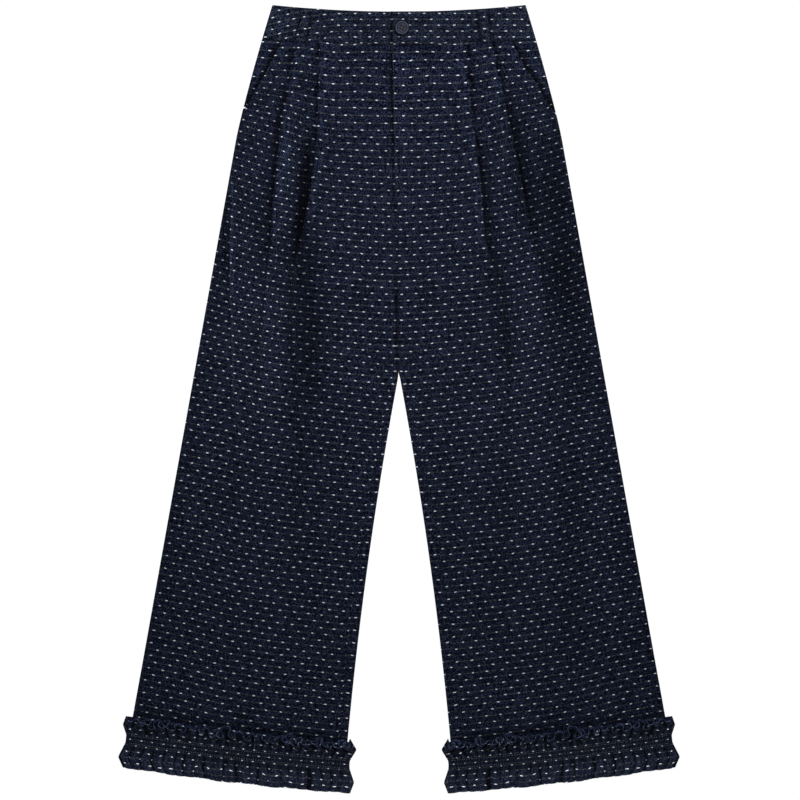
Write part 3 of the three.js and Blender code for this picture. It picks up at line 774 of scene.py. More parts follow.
def front_section(half, share):
    """All columns of a front panel, from the fly or inseam to the side."""
    side = half["side"]
    base = FRONT_MIDDLE + row_lift(share)

    def inner_edge(y):
        wrapped = (read(half["wrap"], "width", y) + INSEAM_GAP) * ease(CROTCH_Y - y, 0, WRAP_START)
        return side * read(CENTRE_LINE, "x", y) + half_gap(y) + wrapped

    inner = meet(share, inner_edge)
    section = Section()
    if side < 0:
        first = inner - np.where(share < FLY["end"], FLY["underlap"], 0)
        section.add(first, base)
        section.add(span(first, first + FLY["flat"] + FLY["slope"], 16, CROWD), span(base, base, 16))
    else:
        lifted = base + LAYER * (1 - ease(share, FLY["end"], FLY["closed"]))
        section.add(inner, lifted)
        section.add(span(inner, inner + FLY["flat"], 14, CROWD), span(lifted, lifted, 14))
        down = 1 - ease(np.linspace(0, 1, 9)[1:], 0, 1)
        slope = base[:, None] + (lifted - base)[:, None] * down
        section.add(span(inner + FLY["flat"], inner + FLY["flat"] + FLY["slope"], 8), slope)
    clear_of = inner + 30
    for fold in half["folds"]:
        clear_of = add_fold(section, fold, share, base, clear_of)
    is_open, u, lift, lift_start, lift_end = side_end(half, share, clear_of)
    top = base + lift
    section.add(span(section.last()[0], lift_start, 12, CROWD), span(base, base, 12))
    up = ease(np.linspace(0, 1, 9)[1:], 0, 1)
    section.add(span(lift_start, lift_end, 8), base[:, None] + lift[:, None] * up)
    section.add(span(lift_end, u - 4, 10), span(top, top, 10))
    roll_u, roll_z = roll_down(u, top, row_lift(share))
    flat_u = span(u - 4, u, roll_u.shape[1])
    is_open = is_open[:, None]
    section.add(np.where(is_open, flat_u, roll_u), np.where(is_open, top[:, None], roll_z))
    return section.arrays(), inner, u


FULLNESS = 2.4
# The heights at which folds start to grow fuller, are full, start to fade and
# have faded, and the part of the fullness that is lost.
FULL = dict(grows_from=436, full_at=330, fades_from=170, faded_at=0, loses=0.8)


def fuller(z, base, y):
    """Folds stand fuller on the hip: the height over the base is scaled by up
    to FULLNESS, which fades again down the leg."""
    more = (FULLNESS - 1) * ease(-y, -FULL["grows_from"], -FULL["full_at"])
    more = more * (1 - FULL["loses"] * ease(-y, -FULL["fades_from"], -FULL["faded_at"]))
    return z + more * np.maximum(0, z - base)


print("front section ready, folds up to", FULLNESS, "times as full")

# %% [markdown]
# ## Creases
#
# Cloth that has been worn and laid down keeps small creases. Each one here is
# a line with its own width and height, placed where the real garment
# shows it, and the surface rises or dips in a soft bell across it.

# %% Creases placed
# Each row: from x, y to x, y, the width of the bell and its height.
CREASES = [
    (-99, 441, -12, 416, 5, 0.9), (-72, 430, -14, 398, 6, 0.7), (-60, 404, -16, 380, 7, 0.5),
    (72, 441, 6, 416, 5, 0.9), (60, 420, 12, 392, 6, 0.7), (34, 424, 4, 404, 5, 0.6),
    (-34, 380, -12, 366, 6, 0.4), (20, 392, 66, 372, 7, 0.5), (10, 252, 16, 222, 3, 0.5),
    (-46, -140, -66, -152, 4, 0.7), (40, -66, 66, -80, 4, 0.6), (-140, -118, -118, -178, 6, 0.8),
    (118, -180, 112, -232, 6, 0.6), (-205, -330, -196, -392, 7, 0.7), (205, -250, 222, -345, 7, 0.8),
    (-60, 150, -96, 128, 9, 0.5), (78, 120, 100, 92, 9, 0.5), (-118, 60, -112, -60, 8, 0.7),
    (-232, -120, -244, -230, 10, 0.7), (226, -60, 238, -170, 10, 0.7), (-262, -260, -270, -380, 9, 0.6),
    (262, -300, 268, -400, 9, 0.6), (-152, -250, -150, -330, 8, 0.5), (178, -60, 184, -140, 9, 0.6),
    (60, -230, 72, -300, 8, 0.5), (-84, -300, -92, -380, 8, 0.5),
]


def stroke(x, y, x0, y0, x1, y1, width, bow=0.04):
    """1 on a line from x0, y0 to x1, y1 that bows by a share of its length, and
    less beside it in a bell of the given width. It fades towards both ends."""
    length = np.hypot(x1 - x0, y1 - y0)
    along = ((x - x0) * (x1 - x0) + (y - y0) * (y1 - y0)) / length
    across = ((x - x0) * (y1 - y0) - (y - y0) * (x1 - x0)) / length
    bowed = across + bow * length * np.sin(np.pi * np.clip(along / length, 0, 1))
    ends = ease(along, -0.2 * length, 0.25 * length) * (1 - ease(along, 0.7 * length, 1.2 * length))
    return np.exp(-((bowed / width) ** 2)) * ends


def creased(x, y, table=CREASES):
    """The height that all creases add at x, y."""
    return sum(rise * stroke(x, y, *line) for *line, rise in table)


def drape(x, y):
    """Long low swells in the cloth: three crossed sines, always above zero."""
    swell = np.sin(x / 31 + y / 170) + np.sin(x / 19 - y / 90 + 1.3) + np.sin(y / 47 + x / 140)
    return 0.11 * (swell + 3) / 2


print("creases:", len(CREASES))

# %% [markdown]
# ## Shade in the hollows
#
# The folds are only a few millimetres high, and a lamp alone would hardly show
# them. The real cloth lies darker in its hollows, because fibres beside a fold
# keep light from it. A painter would darken these places by hand. Here the
# mesh carries a shade value at each point, and the material multiplies the
# colour by it.

# %% Hollows placed
# Each row: from x, y to x, y, the width of the bell and its tone, below zero for
# painted shade and above it for painted light. The first ones follow the pleats,
# later ones the fly, the crotch, the legs and the hem.
HOLLOWS = [
    (-112, 325, -128, 178, 8.5, -0.72), (-116, 215, -108, -10, 18, -0.34),
    (-126, 186, -124, -165, 14, -0.14), (-147, 380, -162, 215, 4.5, -0.5),
    (-172, 250, -166, 180, 18, -0.14), (-208.4, 275, -210, 136, 1.6, 1.0),
    (-209.3, 150, -206.5, 10, 1.6, 0.9), (-216, 250, -220, 145, 6, -0.25),
    (-140, 340, -150, 200, 11, 0.2), (-180, 150, -175, -60, 26, 0.08),
    (85.2, 456, 94.4, 346, 2.0, -0.75), (97, 335, 103, 275, 1.8, -0.6), (102, 315, 117, 180, 6, -0.42),
    (117, 190, 136, 45, 14, -0.26), (140, 385, 165, 200, 12, -0.42), (186, 336, 210, 120, 24, -0.34),
    (201, 174, 228, 0, 20, -0.26), (214, 0, 220, -380, 16, -0.14), (160, 174, 160, -130, 18, 0.05),
    (142, 386, 170, 190, 3, 0.2), (117.2, 454, 128.4, 392, 1.9, -0.65),
    (126.5, 404, 149, 311, 1.7, -0.4), (147, 322, 161, 240, 1.8, -0.4),
    (-100.0, 452, -103.6, 330, 1.6, -0.75), (-130.2, 452, -147.0, 350, 1.6, -0.55),
    (-10.4, 446, -6.4, 262, 1.4, -0.8), (2, 263, 20, 262, 5, 0.16), (-6.4, 270, -2.2, 192, 1.5, -0.25),
    (-2.2, 200, -3.2, 146, 1.5, -0.3), (3, 436, 8, 262, 8, 0.12), (8, 213, 8, 184, 1.6, -0.5),
    (-3.4, 150, -2, 30, 2.5, -0.5), (-61, 438, -8, 400, 5, -0.24), (-66, 414, -30, 372, 7, -0.14),
    (67, 452, 20, 418, 5, -0.24), (78, 436, 92, 416, 5, -0.16), (-96, -30, -98, -190, 26, -0.08),
    (120, -60, 128, -240, 20, -0.1), (60, -30, 80, -200, 30, -0.05), (-155, 140, -150, 20, 16, 0.08),
    (-120, 420, -122, 380, 5, -0.2), (125, 430, 122, 380, 5, 0.14), (58, -426, 342, -393, 4, -0.4),
    (-58, -426, -342, -393, 4, -0.4),
]
CONTRAST = 1.5


def hollows(x, y, table=HOLLOWS):
    """The painted light at x, y: the product of one plus each stroke's tone,
    below zero for painted shade in a hollow and above it for painted light on a
    ridge, with more contrast."""
    light = np.ones_like(x)
    for *line, tone in table:
        light *= 1 + tone * stroke(x, y, *line, bow=0)
    return light ** CONTRAST


print("hollows and ridges:", len(HOLLOWS))

# %% [markdown]
# ## How the weave lies
#
# On a flat cutting table the rows are level. Pleated and sewn they aren't:
# they lie further apart towards the waist, rise towards the side and close up
# over the hip. A UV map says where each point of the cloth lies in the figure,
# so the map is worked out from a few heights, and the figure stays as it is.

# %% Rows and columns
# A half front has COLUMNS dashes in a row, and one dash of a flat piece takes
# COLUMN_WIDTH. PITCH_STEP is the step at which row pitches are summed.
COLUMNS = 14.0
COLUMN_WIDTH = 18.6
HIP_PACKING = 0.24
PITCH_STEP = 2.0
ROW_PITCH = dict(
    y=[500, 385, 345, 310, 249, 61, -200, -470],
    pitch=[10.3, 10.1, 9, 8.35, 8.15, 8, 7.85, 7.8],
)
TILT_PARTS = [0, 0.2, 0.4, 0.6, 0.8, 1]
TILTS = dict(
    waist=[0, 0, 0.008, 0.05, 0.118, 0.178],
    hip=[0, 0.012, 0.030, 0.058, 0.102, 0.168],
    leg=[0, 0.022, 0.046, 0.078, 0.128, 0.166],
)
TILT_AT_BAND = 0.25


def weave_rows(u, y, inner, outer):
    """The row number at each point: the height above a reference, less the
    rise of the thread across the panel, divided by the local row pitch. The
    rise dies away towards the band, so rows lie closer on the outer hip."""
    part = np.clip((u - inner) / (outer - inner), 0, 1.1)
    waist, hip, leg = (np.interp(part, TILT_PARTS, rise) for rise in TILTS.values())
    rise = lerp(leg, lerp(hip, waist, ease(y, 240, 360)), ease(y, -20, 160))
    rise = rise * lerp(1, TILT_AT_BAND, ease(y, 330, 445))
    ripple = (1.1 * np.sin(u / 14 + y / 50) + 0.7 * np.sin(u / 23 - y / 17)) * ease(y, 300, 420)
    level = y + ripple - (outer - inner) * rise
    heights = np.linspace(-520, 520, 521)
    pitch = np.interp(heights, ROW_PITCH["y"][::-1], ROW_PITCH["pitch"][::-1])
    count = np.concatenate([[0], np.cumsum(PITCH_STEP / pitch[1:])])
    return np.interp(level, heights, count)


FIRST_COLUMN = dict(left=20.0, right=20.3)


def weave_uv(u, z, y, inner, outer, skip=0.0, start=FIRST_COLUMN["left"]):
    """UV of a panel: columns counted by the length along the cloth, so that
    they run on through a fold, and closer on the outer hip where the cloth
    slopes. Rows are counted up the panel."""
    steps = np.hypot(np.diff(u, axis=1), np.diff(z, axis=1))
    length = np.concatenate([np.zeros((len(u), 1)), np.cumsum(steps, axis=1)], axis=1)
    whole = length[:, -1:] + (outer - u[:, -1:]) - skip
    beyond = ease(u, 110, 135) * ease(y, -60, 150)
    packed = steps * (1 + HIP_PACKING * beyond[:, 1:])
    counted = np.concatenate([np.zeros((len(u), 1)), np.cumsum(packed, axis=1)], axis=1) - skip
    return np.stack([start + COLUMNS * counted / whole, weave_rows(u, y, inner, outer)], axis=2)


print("columns in a half front:", COLUMNS)

# %% Make the front panels
ROWS = 205
# Painted shade darkens each front over its last stretch in to the side seam.
SIDE_SHADE, SIDE_SHADE_WIDTH = 0.14, 34
BODY_NAME = list(frame["bodies"])[0]
# Painted light: a tone at each height, lighter towards the waist.
PAINTED_LIGHT_BY_HEIGHT = dict(y=[-480, -120, 110, 250, 440], tone=[0.92, 0.91, 0.94, 1.0, 1.23])


def painted_light_by_height(y):
    """Painted light: the garment is painted a little lighter at the waist than at the hems."""
    return np.interp(y, PAINTED_LIGHT_BY_HEIGHT["y"], PAINTED_LIGHT_BY_HEIGHT["tone"])


def dress(piece, node):
    """Makes a finished piece ride on the garment and stand for its solid."""
    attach(piece, BODY_NAME)
    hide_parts(node)


def panel_shares(half):
    """The rows of a panel: even shares of its length, and one each side of the
    end of the pocket mouth, where the outline steps."""
    pair = [half["mouth_end"] - MOUTH_ROW_STEP, half["mouth_end"]]
    return np.unique(np.concatenate([np.linspace(0, 1, ROWS), pair]))


panel_grids = {}
for name, half in HALVES.items():
    share = panel_shares(half)
    (u, z), inner, outer = front_section(half, share)
    y = row_y(share[:, None], u) - SEAM
    x = half["side"] * u
    fade = ease(outer[:, None] - u, 2, 14)
    z = fuller(z, (FRONT_MIDDLE + row_lift(share))[:, None], y) + (creased(x, y) + drape(x, y)) * fade
    side = meet(share, side_u)[:, None]
    skip = np.where((share < FLY["end"]) & (half["side"] < 0), FLY["underlap"], 0.0)[:, None]
    uv = weave_uv(u, z, y, inner[:, None], side, skip, FIRST_COLUMN[name])
    shade = fold_shade(half, share, u) * hollows(x, y) * painted_light_by_height(y)
    shade = shade * (1 - SIDE_SHADE * ease(u, side - SIDE_SHADE_WIDTH, side))
    grid = np.stack([x, y, z], axis=2)
    panel_grids[name] = grid
    piece = wall(f"front_panel_{name}", grid, uv, shade, TROUSER_CLOTH, side=half["side"])
    dress(piece, f"front_{name}")
    print(piece.name, len(piece.data.polygons), "faces")

# %% [markdown]
# ## Back panels, facings and inseams
#
# The back panels lie flat on the table under the fronts. Below the crotch each
# comes round the inner leg, so the inseam lies on the front and leaves a
# narrow strip of the back showing. A facing fills each pocket mouth.

# %% Back panels
BACK_COLUMNS = dict(flat=40, to_turn=6, turn=13, strip=6)
BACK_CREASES = [
    (-150, 330, -90, 310, 9, 0.2), (120, 300, 70, 270, 10, 0.2), (-90, 60, -130, -60, 12, 0.2),
    (210, -40, 190, -150, 11, 0.2), (-250, -200, -262, -330, 11, 0.2), (260, -260, 250, -380, 12, 0.2),
]
# The middle seam is straight above this height.
STRAIGHT_FROM = 200


def back_section(half, share):
    """All columns of a back panel from the side in to the middle, and round
    the inner leg to the inseam below the crotch."""
    side = half["side"]
    base = BACK_MIDDLE + row_lift(share)

    def middle_edge(y):
        followed = 1 - np.clip((y - CROTCH_Y) / (STRAIGHT_FROM - CROTCH_Y), 0, 1)
        return side * read(CENTRE_LINE, "x", y) * followed + half_gap(y)

    edge = meet(share, middle_edge)
    mouth_row = np.abs(share - half["mouth_end"]) < 2 * MOUTH_ROW_STEP
    outer = meet(share, side_u) - CLOTH - np.where(mouth_row, 5 * GAP, GAP)
    radius = LAYER / 2
    come_round = ease(CROTCH_Y - row_y(share, edge), 0, WRAP_START)
    turn_at = edge + (CLOTH / 2 + radius) * np.minimum(1, 2 * come_round)
    section = Section()
    flat, to_turn, turn, strip = BACK_COLUMNS.values()
    section.add(outer, base)
    section.add(span(outer, turn_at + 4, flat), span(base, base, flat))
    section.add(span(turn_at + 4, turn_at, to_turn), span(base, base, to_turn))
    angles = come_round[:, None] * np.linspace(0, np.pi, turn)
    section.add(turn_at[:, None] - radius * np.sin(angles), base[:, None] + radius * (1 - np.cos(angles)))
    width = read(half["wrap"], "width", row_y(share, edge))
    u, z = section.last()
    section.add(span(u, lerp(u, edge + width, come_round), strip), span(z, z, strip))
    return section.arrays(), edge


for name, half in HALVES.items():
    share = panel_shares(half)
    (u, z), edge = back_section(half, share)
    y = row_y(share[:, None], u) - SEAM
    x = half["side"] * u
    under = (np.arange(u.shape[1]) < BACK_COLUMNS["flat"] - 2)[None, :]
    z = z + creased(x, y, BACK_CREASES) * under
    side = meet(share, side_u)[:, None]
    uv = weave_uv(-u, z, y, -side, -edge[:, None])
    uv[..., 1] = weave_rows(u, y, edge[:, None], side)
    shade = painted_light_by_height(y) * np.where(under, 1, hollows(x, y))
    grid = np.stack([x, y, z], axis=2)
    piece = wall(f"back_panel_{name}", grid, uv, shade, TROUSER_CLOTH, side=-half["side"])
    dress(piece, f"back_{name}")
    print(piece.name, len(piece.data.polygons), "faces")

# %% Pocket facings
# A facing starts FACING_UNDER inside the mouth, clear of the column in which
# the front starts to lift. Its painted shade goes from deep at the mouth to lit over SHADOW.
FACING_UNDER = 12.7
LIFT_COLUMN = -22
DEEP_SHADE, LIT_SHADE, SHADOW = 0.12, 0.95, 11


def facing_section(half, share):
    """A facing runs from just under the pocket mouth to the side, where it
    rolls down as the front does below it."""
    (front_u, _), _, mouth = front_section(half, share)
    hidden = np.maximum(mouth - FACING_UNDER, front_u[:, LIFT_COLUMN] + GAP)
    outer = meet(share, side_u)
    base = FRONT_MIDDLE + row_lift(share)
    section = Section()
    section.add(hidden, base)
    section.add(span(hidden, outer - 3, 14), span(base, base, 14))
    section.add(*roll_down(outer, base, row_lift(share)))
    return section.arrays()


for name, half in HALVES.items():
    share = np.linspace(0, half["mouth_end"] - MOUTH_ROW_STEP, 40)
    u, z = facing_section(half, share)
    y = row_y(share[:, None], u) - SEAM
    x = half["side"] * u
    side = meet(share, side_u)[:, None]
    uv = np.stack([u / COLUMN_WIDTH + 0.3, weave_rows(u, y, 0 * side, side) + 0.4], axis=2)
    mouth = mouth_u(half, share)[:, None]
    shade = painted_light_by_height(y) * lerp(DEEP_SHADE, LIT_SHADE, ease(u, mouth, mouth + SHADOW))
    grid = np.stack([x, y, z], axis=2)
    piece = wall(f"pocket_facing_cloth_{name}", grid, uv, shade, TROUSER_CLOTH, side=half["side"])
    dress(piece, f"pocket_facing_{name}")
    print(piece.name, len(piece.data.polygons), "faces")

# %% [markdown]
# ## Waistband and belt loops
#
# The band is a doubled strip, so it is about twice as thick and its long edges
# are folds. It could be bent from a plane by a modifier, but its two edges
# follow different curves, so each line along it is worked out between them.
# The right front end laps over the left one. A belt loop is a narrow folded
# strip that stands a little off the band in the middle.

# %% Waistband
# The button comes later, but a painted shadow darkens the band round its foot.
BUTTON = dict(x=3.8, y=463.4, radius=8.5, height=2.8, dish=0.8, hole=1.3, hole_from=1.8, turned=0.45)
BUTTON_SHADOW = dict(tone=0.75, out=0.7, width=1.1)
BAND_LAP = dict(under=20, over=-10, flat=24, end=38)
BAND_ROWS = 34
# The height of a row of the band, the height at which one starts, and how fast
# rows droop past x at the left end.
BAND_WEAVE = dict(pitch=7.3, from_y=441.2, droop=0.0013, droops_past=60)
BEHIND_WEAVE = dict(pitch=7.4, from_y=440)


def band_outer(part):
    """Where a line along the band meets the side, found by going back and
    forth between the two."""
    outer = np.full_like(part, 170.0)
    for _ in range(MEET_STEPS):
        outer = side_u(lerp(waist_y(outer) + SEAM, top_y(outer), part))
    return outer


def band_section(side, outer):
    """The front band from its lapped end to the side."""
    level = np.full_like(outer, FRONT_BAND_MIDDLE)
    lap_end = np.full_like(outer, BAND_LAP["end"])
    section = Section()
    if side < 0:
        first = np.full_like(outer, -BAND_LAP["under"])
        section.add(first, level)
        section.add(span(first, lap_end, 16), span(level, level, 16))
    else:
        lifted = level + BAND + GAP
        first = np.full_like(outer, BAND_LAP["over"])
        flat_end = np.full_like(outer, BAND_LAP["flat"])
        section.add(first, lifted)
        section.add(span(first, flat_end, 34), span(lifted, lifted, 34))
        down = 1 - ease(np.linspace(0, 1, 9)[1:], 0, 1)
        section.add(span(flat_end, lap_end, 8), level[:, None] + (BAND + GAP) * down)
    section.add(span(lap_end, outer - 5, 46), span(level, level, 46))
    section.add(*roll_down(outer, level, np.full_like(outer, LAYER), BAND))
    return section.arrays()


def band_profile(part):
    """Across its depth the band dips by 0.35 mm to its two folded edges."""
    return -0.35 * (1 - ease(part, 0, 0.12)) - 0.35 * ease(part, 0.88, 1)


def band_painted_light(part, u):
    """Painted light: the band is painted lighter towards the side and at its top
    fold, and painted shade darkens it just above the waist seam."""
    tone = (1.08 + 0.16 * ease(u, 110, 165)) * (1 + 0.12 * ease(part, 0.9, 1))[:, None]
    return tone, (1 - 0.3 * (1 - ease(part, 0, 0.07)))[:, None]


def painted_button_shadow(x, y):
    """The painted shadow that the button's edge throws on the band, a bell in
    the distance from that edge."""
    beyond = np.hypot(x - BUTTON["x"], y - BUTTON["y"]) - BUTTON["radius"]
    bell = np.exp(-(((beyond - BUTTON_SHADOW["out"]) / BUTTON_SHADOW["width"]) ** 2))
    return 1 - BUTTON_SHADOW["tone"] * bell


BAND_CREASES = [
    (-112, 486, -60, 452, 6, 0.8), (-96, 470, -40, 448, 5, 0.6), (92, 484, 44, 450, 6, 0.9),
    (70, 470, 22, 446, 5, 0.7), (-30, 480, -18, 452, 5, 0.5), (138, 484, 150, 452, 5, 0.5),
    (-148, 478, -130, 450, 6, 0.5),
]
# Painted shade on the band: beside the belt loops, at the lapped end, below the button and along creases.
BAND_HOLLOWS = [
    (-107, 492, -117, 442, 2.2, -0.5), (-121, 492, -131, 442, 2.2, -0.5),
    (97.5, 490, 102, 442, 2.4, -0.55), (111.5, 490, 116.5, 442, 2.2, -0.5),
    (-9.5, 490, -9.5, 436, 2, -0.6), (-60, 476, -20, 458, 6, -0.16), (40, 484, 20, 462, 7, -0.16),
    (3.8, 470, 3.8, 452, 8, -0.25), (-25, 484, -12, 456, 5, -0.14),
]
part = np.linspace(0, 1, BAND_ROWS)
for name, half in HALVES.items():
    side = half["side"]
    outer = band_outer(part)
    u, z = band_section(side, outer)
    y = lerp(waist_y(u) + SEAM, top_y(u), part[:, None])
    x = side * u
    z = z + (creased(x, y, BAND_CREASES) + band_profile(part)[:, None]) * ease(outer[:, None] - u, 2, 10)
    droop = BAND_WEAVE["droop"] * np.maximum(0, -x - BAND_WEAVE["droops_past"]) ** 2
    band_row = (y + droop - BAND_WEAVE["from_y"]) / BAND_WEAVE["pitch"]
    uv = np.stack([x / COLUMN_WIDTH + 20 + 0.3 * (x > 0), band_row], axis=2)
    lighter, seam_shade = band_painted_light(part, u)
    shade = lighter * hollows(x, y, BAND_HOLLOWS) * seam_shade * painted_button_shadow(x, y)
    grid = np.stack([x, y, z], axis=2)
    piece = wall(f"waistband_{name}", grid[::-1], uv[::-1], shade[::-1], BAND_CLOTH, BAND, side)
    dress(piece, f"waistband_front_{name}")
    print(piece.name, len(piece.data.polygons), "faces")

end = band_outer(part) - BAND - GAP
u = end[:, None] * np.linspace(-1, 1, 70)[None, :]
y = lerp(waist_y(u) + SEAM, top_y(u), part[:, None])
z = np.full_like(u, BACK_BAND_MIDDLE)
uv = np.stack([u / COLUMN_WIDTH + 40, (y - BEHIND_WEAVE["from_y"]) / BEHIND_WEAVE["pitch"]], axis=2)
grid = np.stack([u, y, z], axis=2)
piece = wall("waistband_behind", grid[::-1], uv[::-1], np.full_like(u, 1.1), BAND_CLOTH, BAND)
dress(piece, "waistband_back")
print(piece.name, len(piece.data.polygons), "faces")

# %% Belt loops
LOOP = dict(width=10.6, bow=0.6, welt=0.175, below_top=1, above_seam=1)
# Painted light on a belt loop: lighter in the middle, painted shade at its edges and a painted highlight
# along two ridges.
LOOP_PAINTED_LIGHT = dict(middle=1.2, edge=0.55, ridge=0.2, ridge_at=0.36, ridge_width=0.05)
LOOPS = dict(
    name=["front_left", "front_right", "back_left", "back_middle", "back_right"],
    top=[-114, 104.4, -108, 0, 108],
    bottom=[-124, 109, -113, 0, 113],
)
LOOP_ON_BAND = FRONT_BAND_MIDDLE + BAND / 2 + GAP + CLOTH / 2


def loop_y(x, part):
    """The height on a belt loop a share part of the way up the band."""
    return lerp(waist_y(x) + LOOP["above_seam"], top_y(x) - LOOP["below_top"], part)


for name, top, bottom in zip(LOOPS["name"], LOOPS["top"], LOOPS["bottom"]):
    behind = name.startswith("back")
    along = np.linspace(0, 1, 24)[:, None]
    across = np.linspace(-0.5, 0.5, 11)[None, :]
    middle = lerp(bottom, top, along)
    x = middle + across * LOOP["width"]
    y = loop_y(middle, along) + 0 * x
    flat = CLOTH / 2 if behind else LOOP_ON_BAND
    bow = 0 if behind else LOOP["bow"] * np.sin(np.pi * along)
    welt = 0 if behind else LOOP["welt"] * np.cos(2 * np.pi * across)
    z = flat + bow + welt + 0 * x
    loop_row = (y - BEHIND_WEAVE["from_y"]) / BEHIND_WEAVE["pitch"] + 0.5
    uv = np.stack([x / COLUMN_WIDTH + 3.3, loop_row], axis=2)
    ridge = np.exp(-((np.abs(across) - LOOP_PAINTED_LIGHT["ridge_at"]) / LOOP_PAINTED_LIGHT["ridge_width"]) ** 2)
    shade = np.full_like(x, LOOP_PAINTED_LIGHT["middle"]) * (1 - LOOP_PAINTED_LIGHT["edge"] * np.abs(2 * across) ** 8)
    shade = shade * (1 + LOOP_PAINTED_LIGHT["ridge"] * ridge)
    grid = np.stack([x, y, z], axis=2)
    piece = wall(f"loop_{name}", grid[::-1], uv[::-1], shade, BAND_CLOTH)
    dress(piece, f"belt_loop_{name}")
    print(piece.name, len(piece.data.polygons), "faces")

# %% [markdown]
# ## Hem ruffles
#
# A strip is gathered on two rows of stitches a little above its middle. Close
# to the stitches the cloth is bunched into many small puckers. Away from them
# the waves open: the heading stands in loops above, and the frill fans out
# below. A cloth simulation could find such waves, but it would take long and
# come out otherwise each time its settings change. Sines of one count of waves
# give them at once, and the same count sets their height, lean and shade.

# %% Ruffle sizes
# The strip's edges and upper stitches lie this far above the lower stitches.
RUFFLE = dict(waves=22, heading=32, upper=9, frill=-31, row_at=24, row_pitch=7.2, under_pitch=7.6)
RUFFLE_ENDS = dict(
    y=[32, 22, 9, 0, -18, -31],
    inner=[61, 53.3, 61.5, 62, 56.3, 61.3],
    outer=[340.5, 344.5, 340.5, 341.5, 350.5, 344.5],
)
# Gathered cloth shows this many times the dashes of a flat piece as wide.
GATHERED = 1.4
DASHES_ROUND = GATHERED * (RUFFLE_ENDS["outer"][2] - RUFFLE_ENDS["inner"][2]) / COLUMN_WIDTH
STITCH_LINE = dict(inner_y=-461, outer_y=-428.5, bow=3)
# The front strip's height at the stitches, the back one's top and the front
# strip's thickness.
FRONT_FLOOR = 7.3
BACK_TOP = HEM_LIFT["height"] - GAP - CLOTH / 2
FRONT_STRIP = 0.9


def wave_phase(part):
    """The count of waves along the strip. It runs ahead and falls back, so
    that no two waves are equally wide."""
    drift = 0.008 * np.sin(17.3 * part + 0.6) + 0.005 * np.sin(41 * part + 2.1)
    drift = drift + 0.004 * np.sin(83 * part + 1)
    return RUFFLE["waves"] * (part + drift * np.sin(np.pi * part))


def along_strip(columns, rows):
    """What every ruffle needs: the place along the strip, the offset from the
    stitches, how far up the heading and down the frill that is, and the place
    of the flat strip before it waves."""
    part = np.linspace(0, 1, columns)[:, None]
    offset = np.linspace(RUFFLE["heading"], RUFFLE["frill"], rows)[None, :]
    heights = RUFFLE_ENDS["y"][::-1]
    inner, outer = (np.interp(offset, heights, RUFFLE_ENDS[end][::-1]) for end in ("inner", "outer"))
    up = np.clip((offset - RUFFLE["upper"]) / (RUFFLE["heading"] - RUFFLE["upper"]), 0, 1)
    down = np.clip(offset / RUFFLE["frill"], 0, 1)
    y = lerp(STITCH_LINE["inner_y"], STITCH_LINE["outer_y"], part) + offset
    y = y - STITCH_LINE["bow"] * np.sin(np.pi * part)
    u = lerp(inner, outer, part)
    from_end = np.minimum(u - inner, outer - u)
    return part, offset, up, down, u, y, from_end


print("ruffle:", RUFFLE["waves"], "waves in", RUFFLE_ENDS["outer"][2] - RUFFLE_ENDS["inner"][2], "mm")

# %% Front ruffles
# Heights and sways in millimetres: of the heading, the frill and the puckers.
HEADING = dict(sway=2.6, wind=4.6, sinks=2.5, low=1.9, high=6.2)
FRILL = dict(lean=1.6, low=0.6, swell=2.7)
PUCKER = dict(width=0.22, height=0.55, turns=3.3)
# Shares of the painted light: the painted shade in troughs, in the slit of a
# trough and under the heading's edge, and the painted highlight that the edges gain.
RUFFLE_LIGHT = dict(all=1.12, slit=0.93, slit_width=1.05, under_edge=0.68, top_edge=1.6, low_edge=0.3)


def ruffle_shade(part, up, down, u, turn, crest, pucker, fine, small, ridge):
    """The painted light on a ruffle: painted shade in each trough, almost black in
    the narrow slit along its bottom, and painted highlights on the cut edges and the crests."""
    away = up + down
    lit = ease(crest, 0.02, lerp(0.4, 0.75, up))
    depth = 0.6 + 0.2 * np.sin(71 * part + 1)
    shade = 1.12 - depth * (1 - lit) * (1 - 0.3 * up) * ease(away, 0.0, 0.25)
    waves_a_mm = np.maximum(0.03, np.gradient(turn / (2 * np.pi), axis=0) / np.gradient(u, axis=0))
    from_trough = np.abs((turn / (2 * np.pi) + 0.5) % 1 - 0.5) / waves_a_mm
    slit = np.exp(-((from_trough / RUFFLE_LIGHT["slit_width"]) ** 2)) * ease(down, 0.1, 0.4)
    shade = shade * (1 - RUFFLE_LIGHT["slit"] * slit * (0.72 + 0.28 * np.sin(53 * part)))
    shade = shade * (1 - 0.3 * pucker * (0.5 - 0.5 * fine))
    under_edge = ease(up, 0.45, 0.75) * (1 - ease(up, 0.86, 0.93))
    shade = shade * (1 - RUFFLE_LIGHT["under_edge"] * under_edge * (0.25 + 0.75 * (1 - crest)))
    shade = shade * (1 + RUFFLE_LIGHT["top_edge"] * ease(up, 0.89, 0.93)) * (1 + 0.3 * small)
    shade = shade * (1 + RUFFLE_LIGHT["low_edge"] * ease(down, 0.93, 0.97))
    shade = shade * (1 + 0.4 * ease(down, 0.2, 0.6) * lit)
    shade = shade * (1 + 0.45 * ridge) * (1 + 0.15 * ease(up, 0, 0.3))
    return RUFFLE_LIGHT["all"] * shade


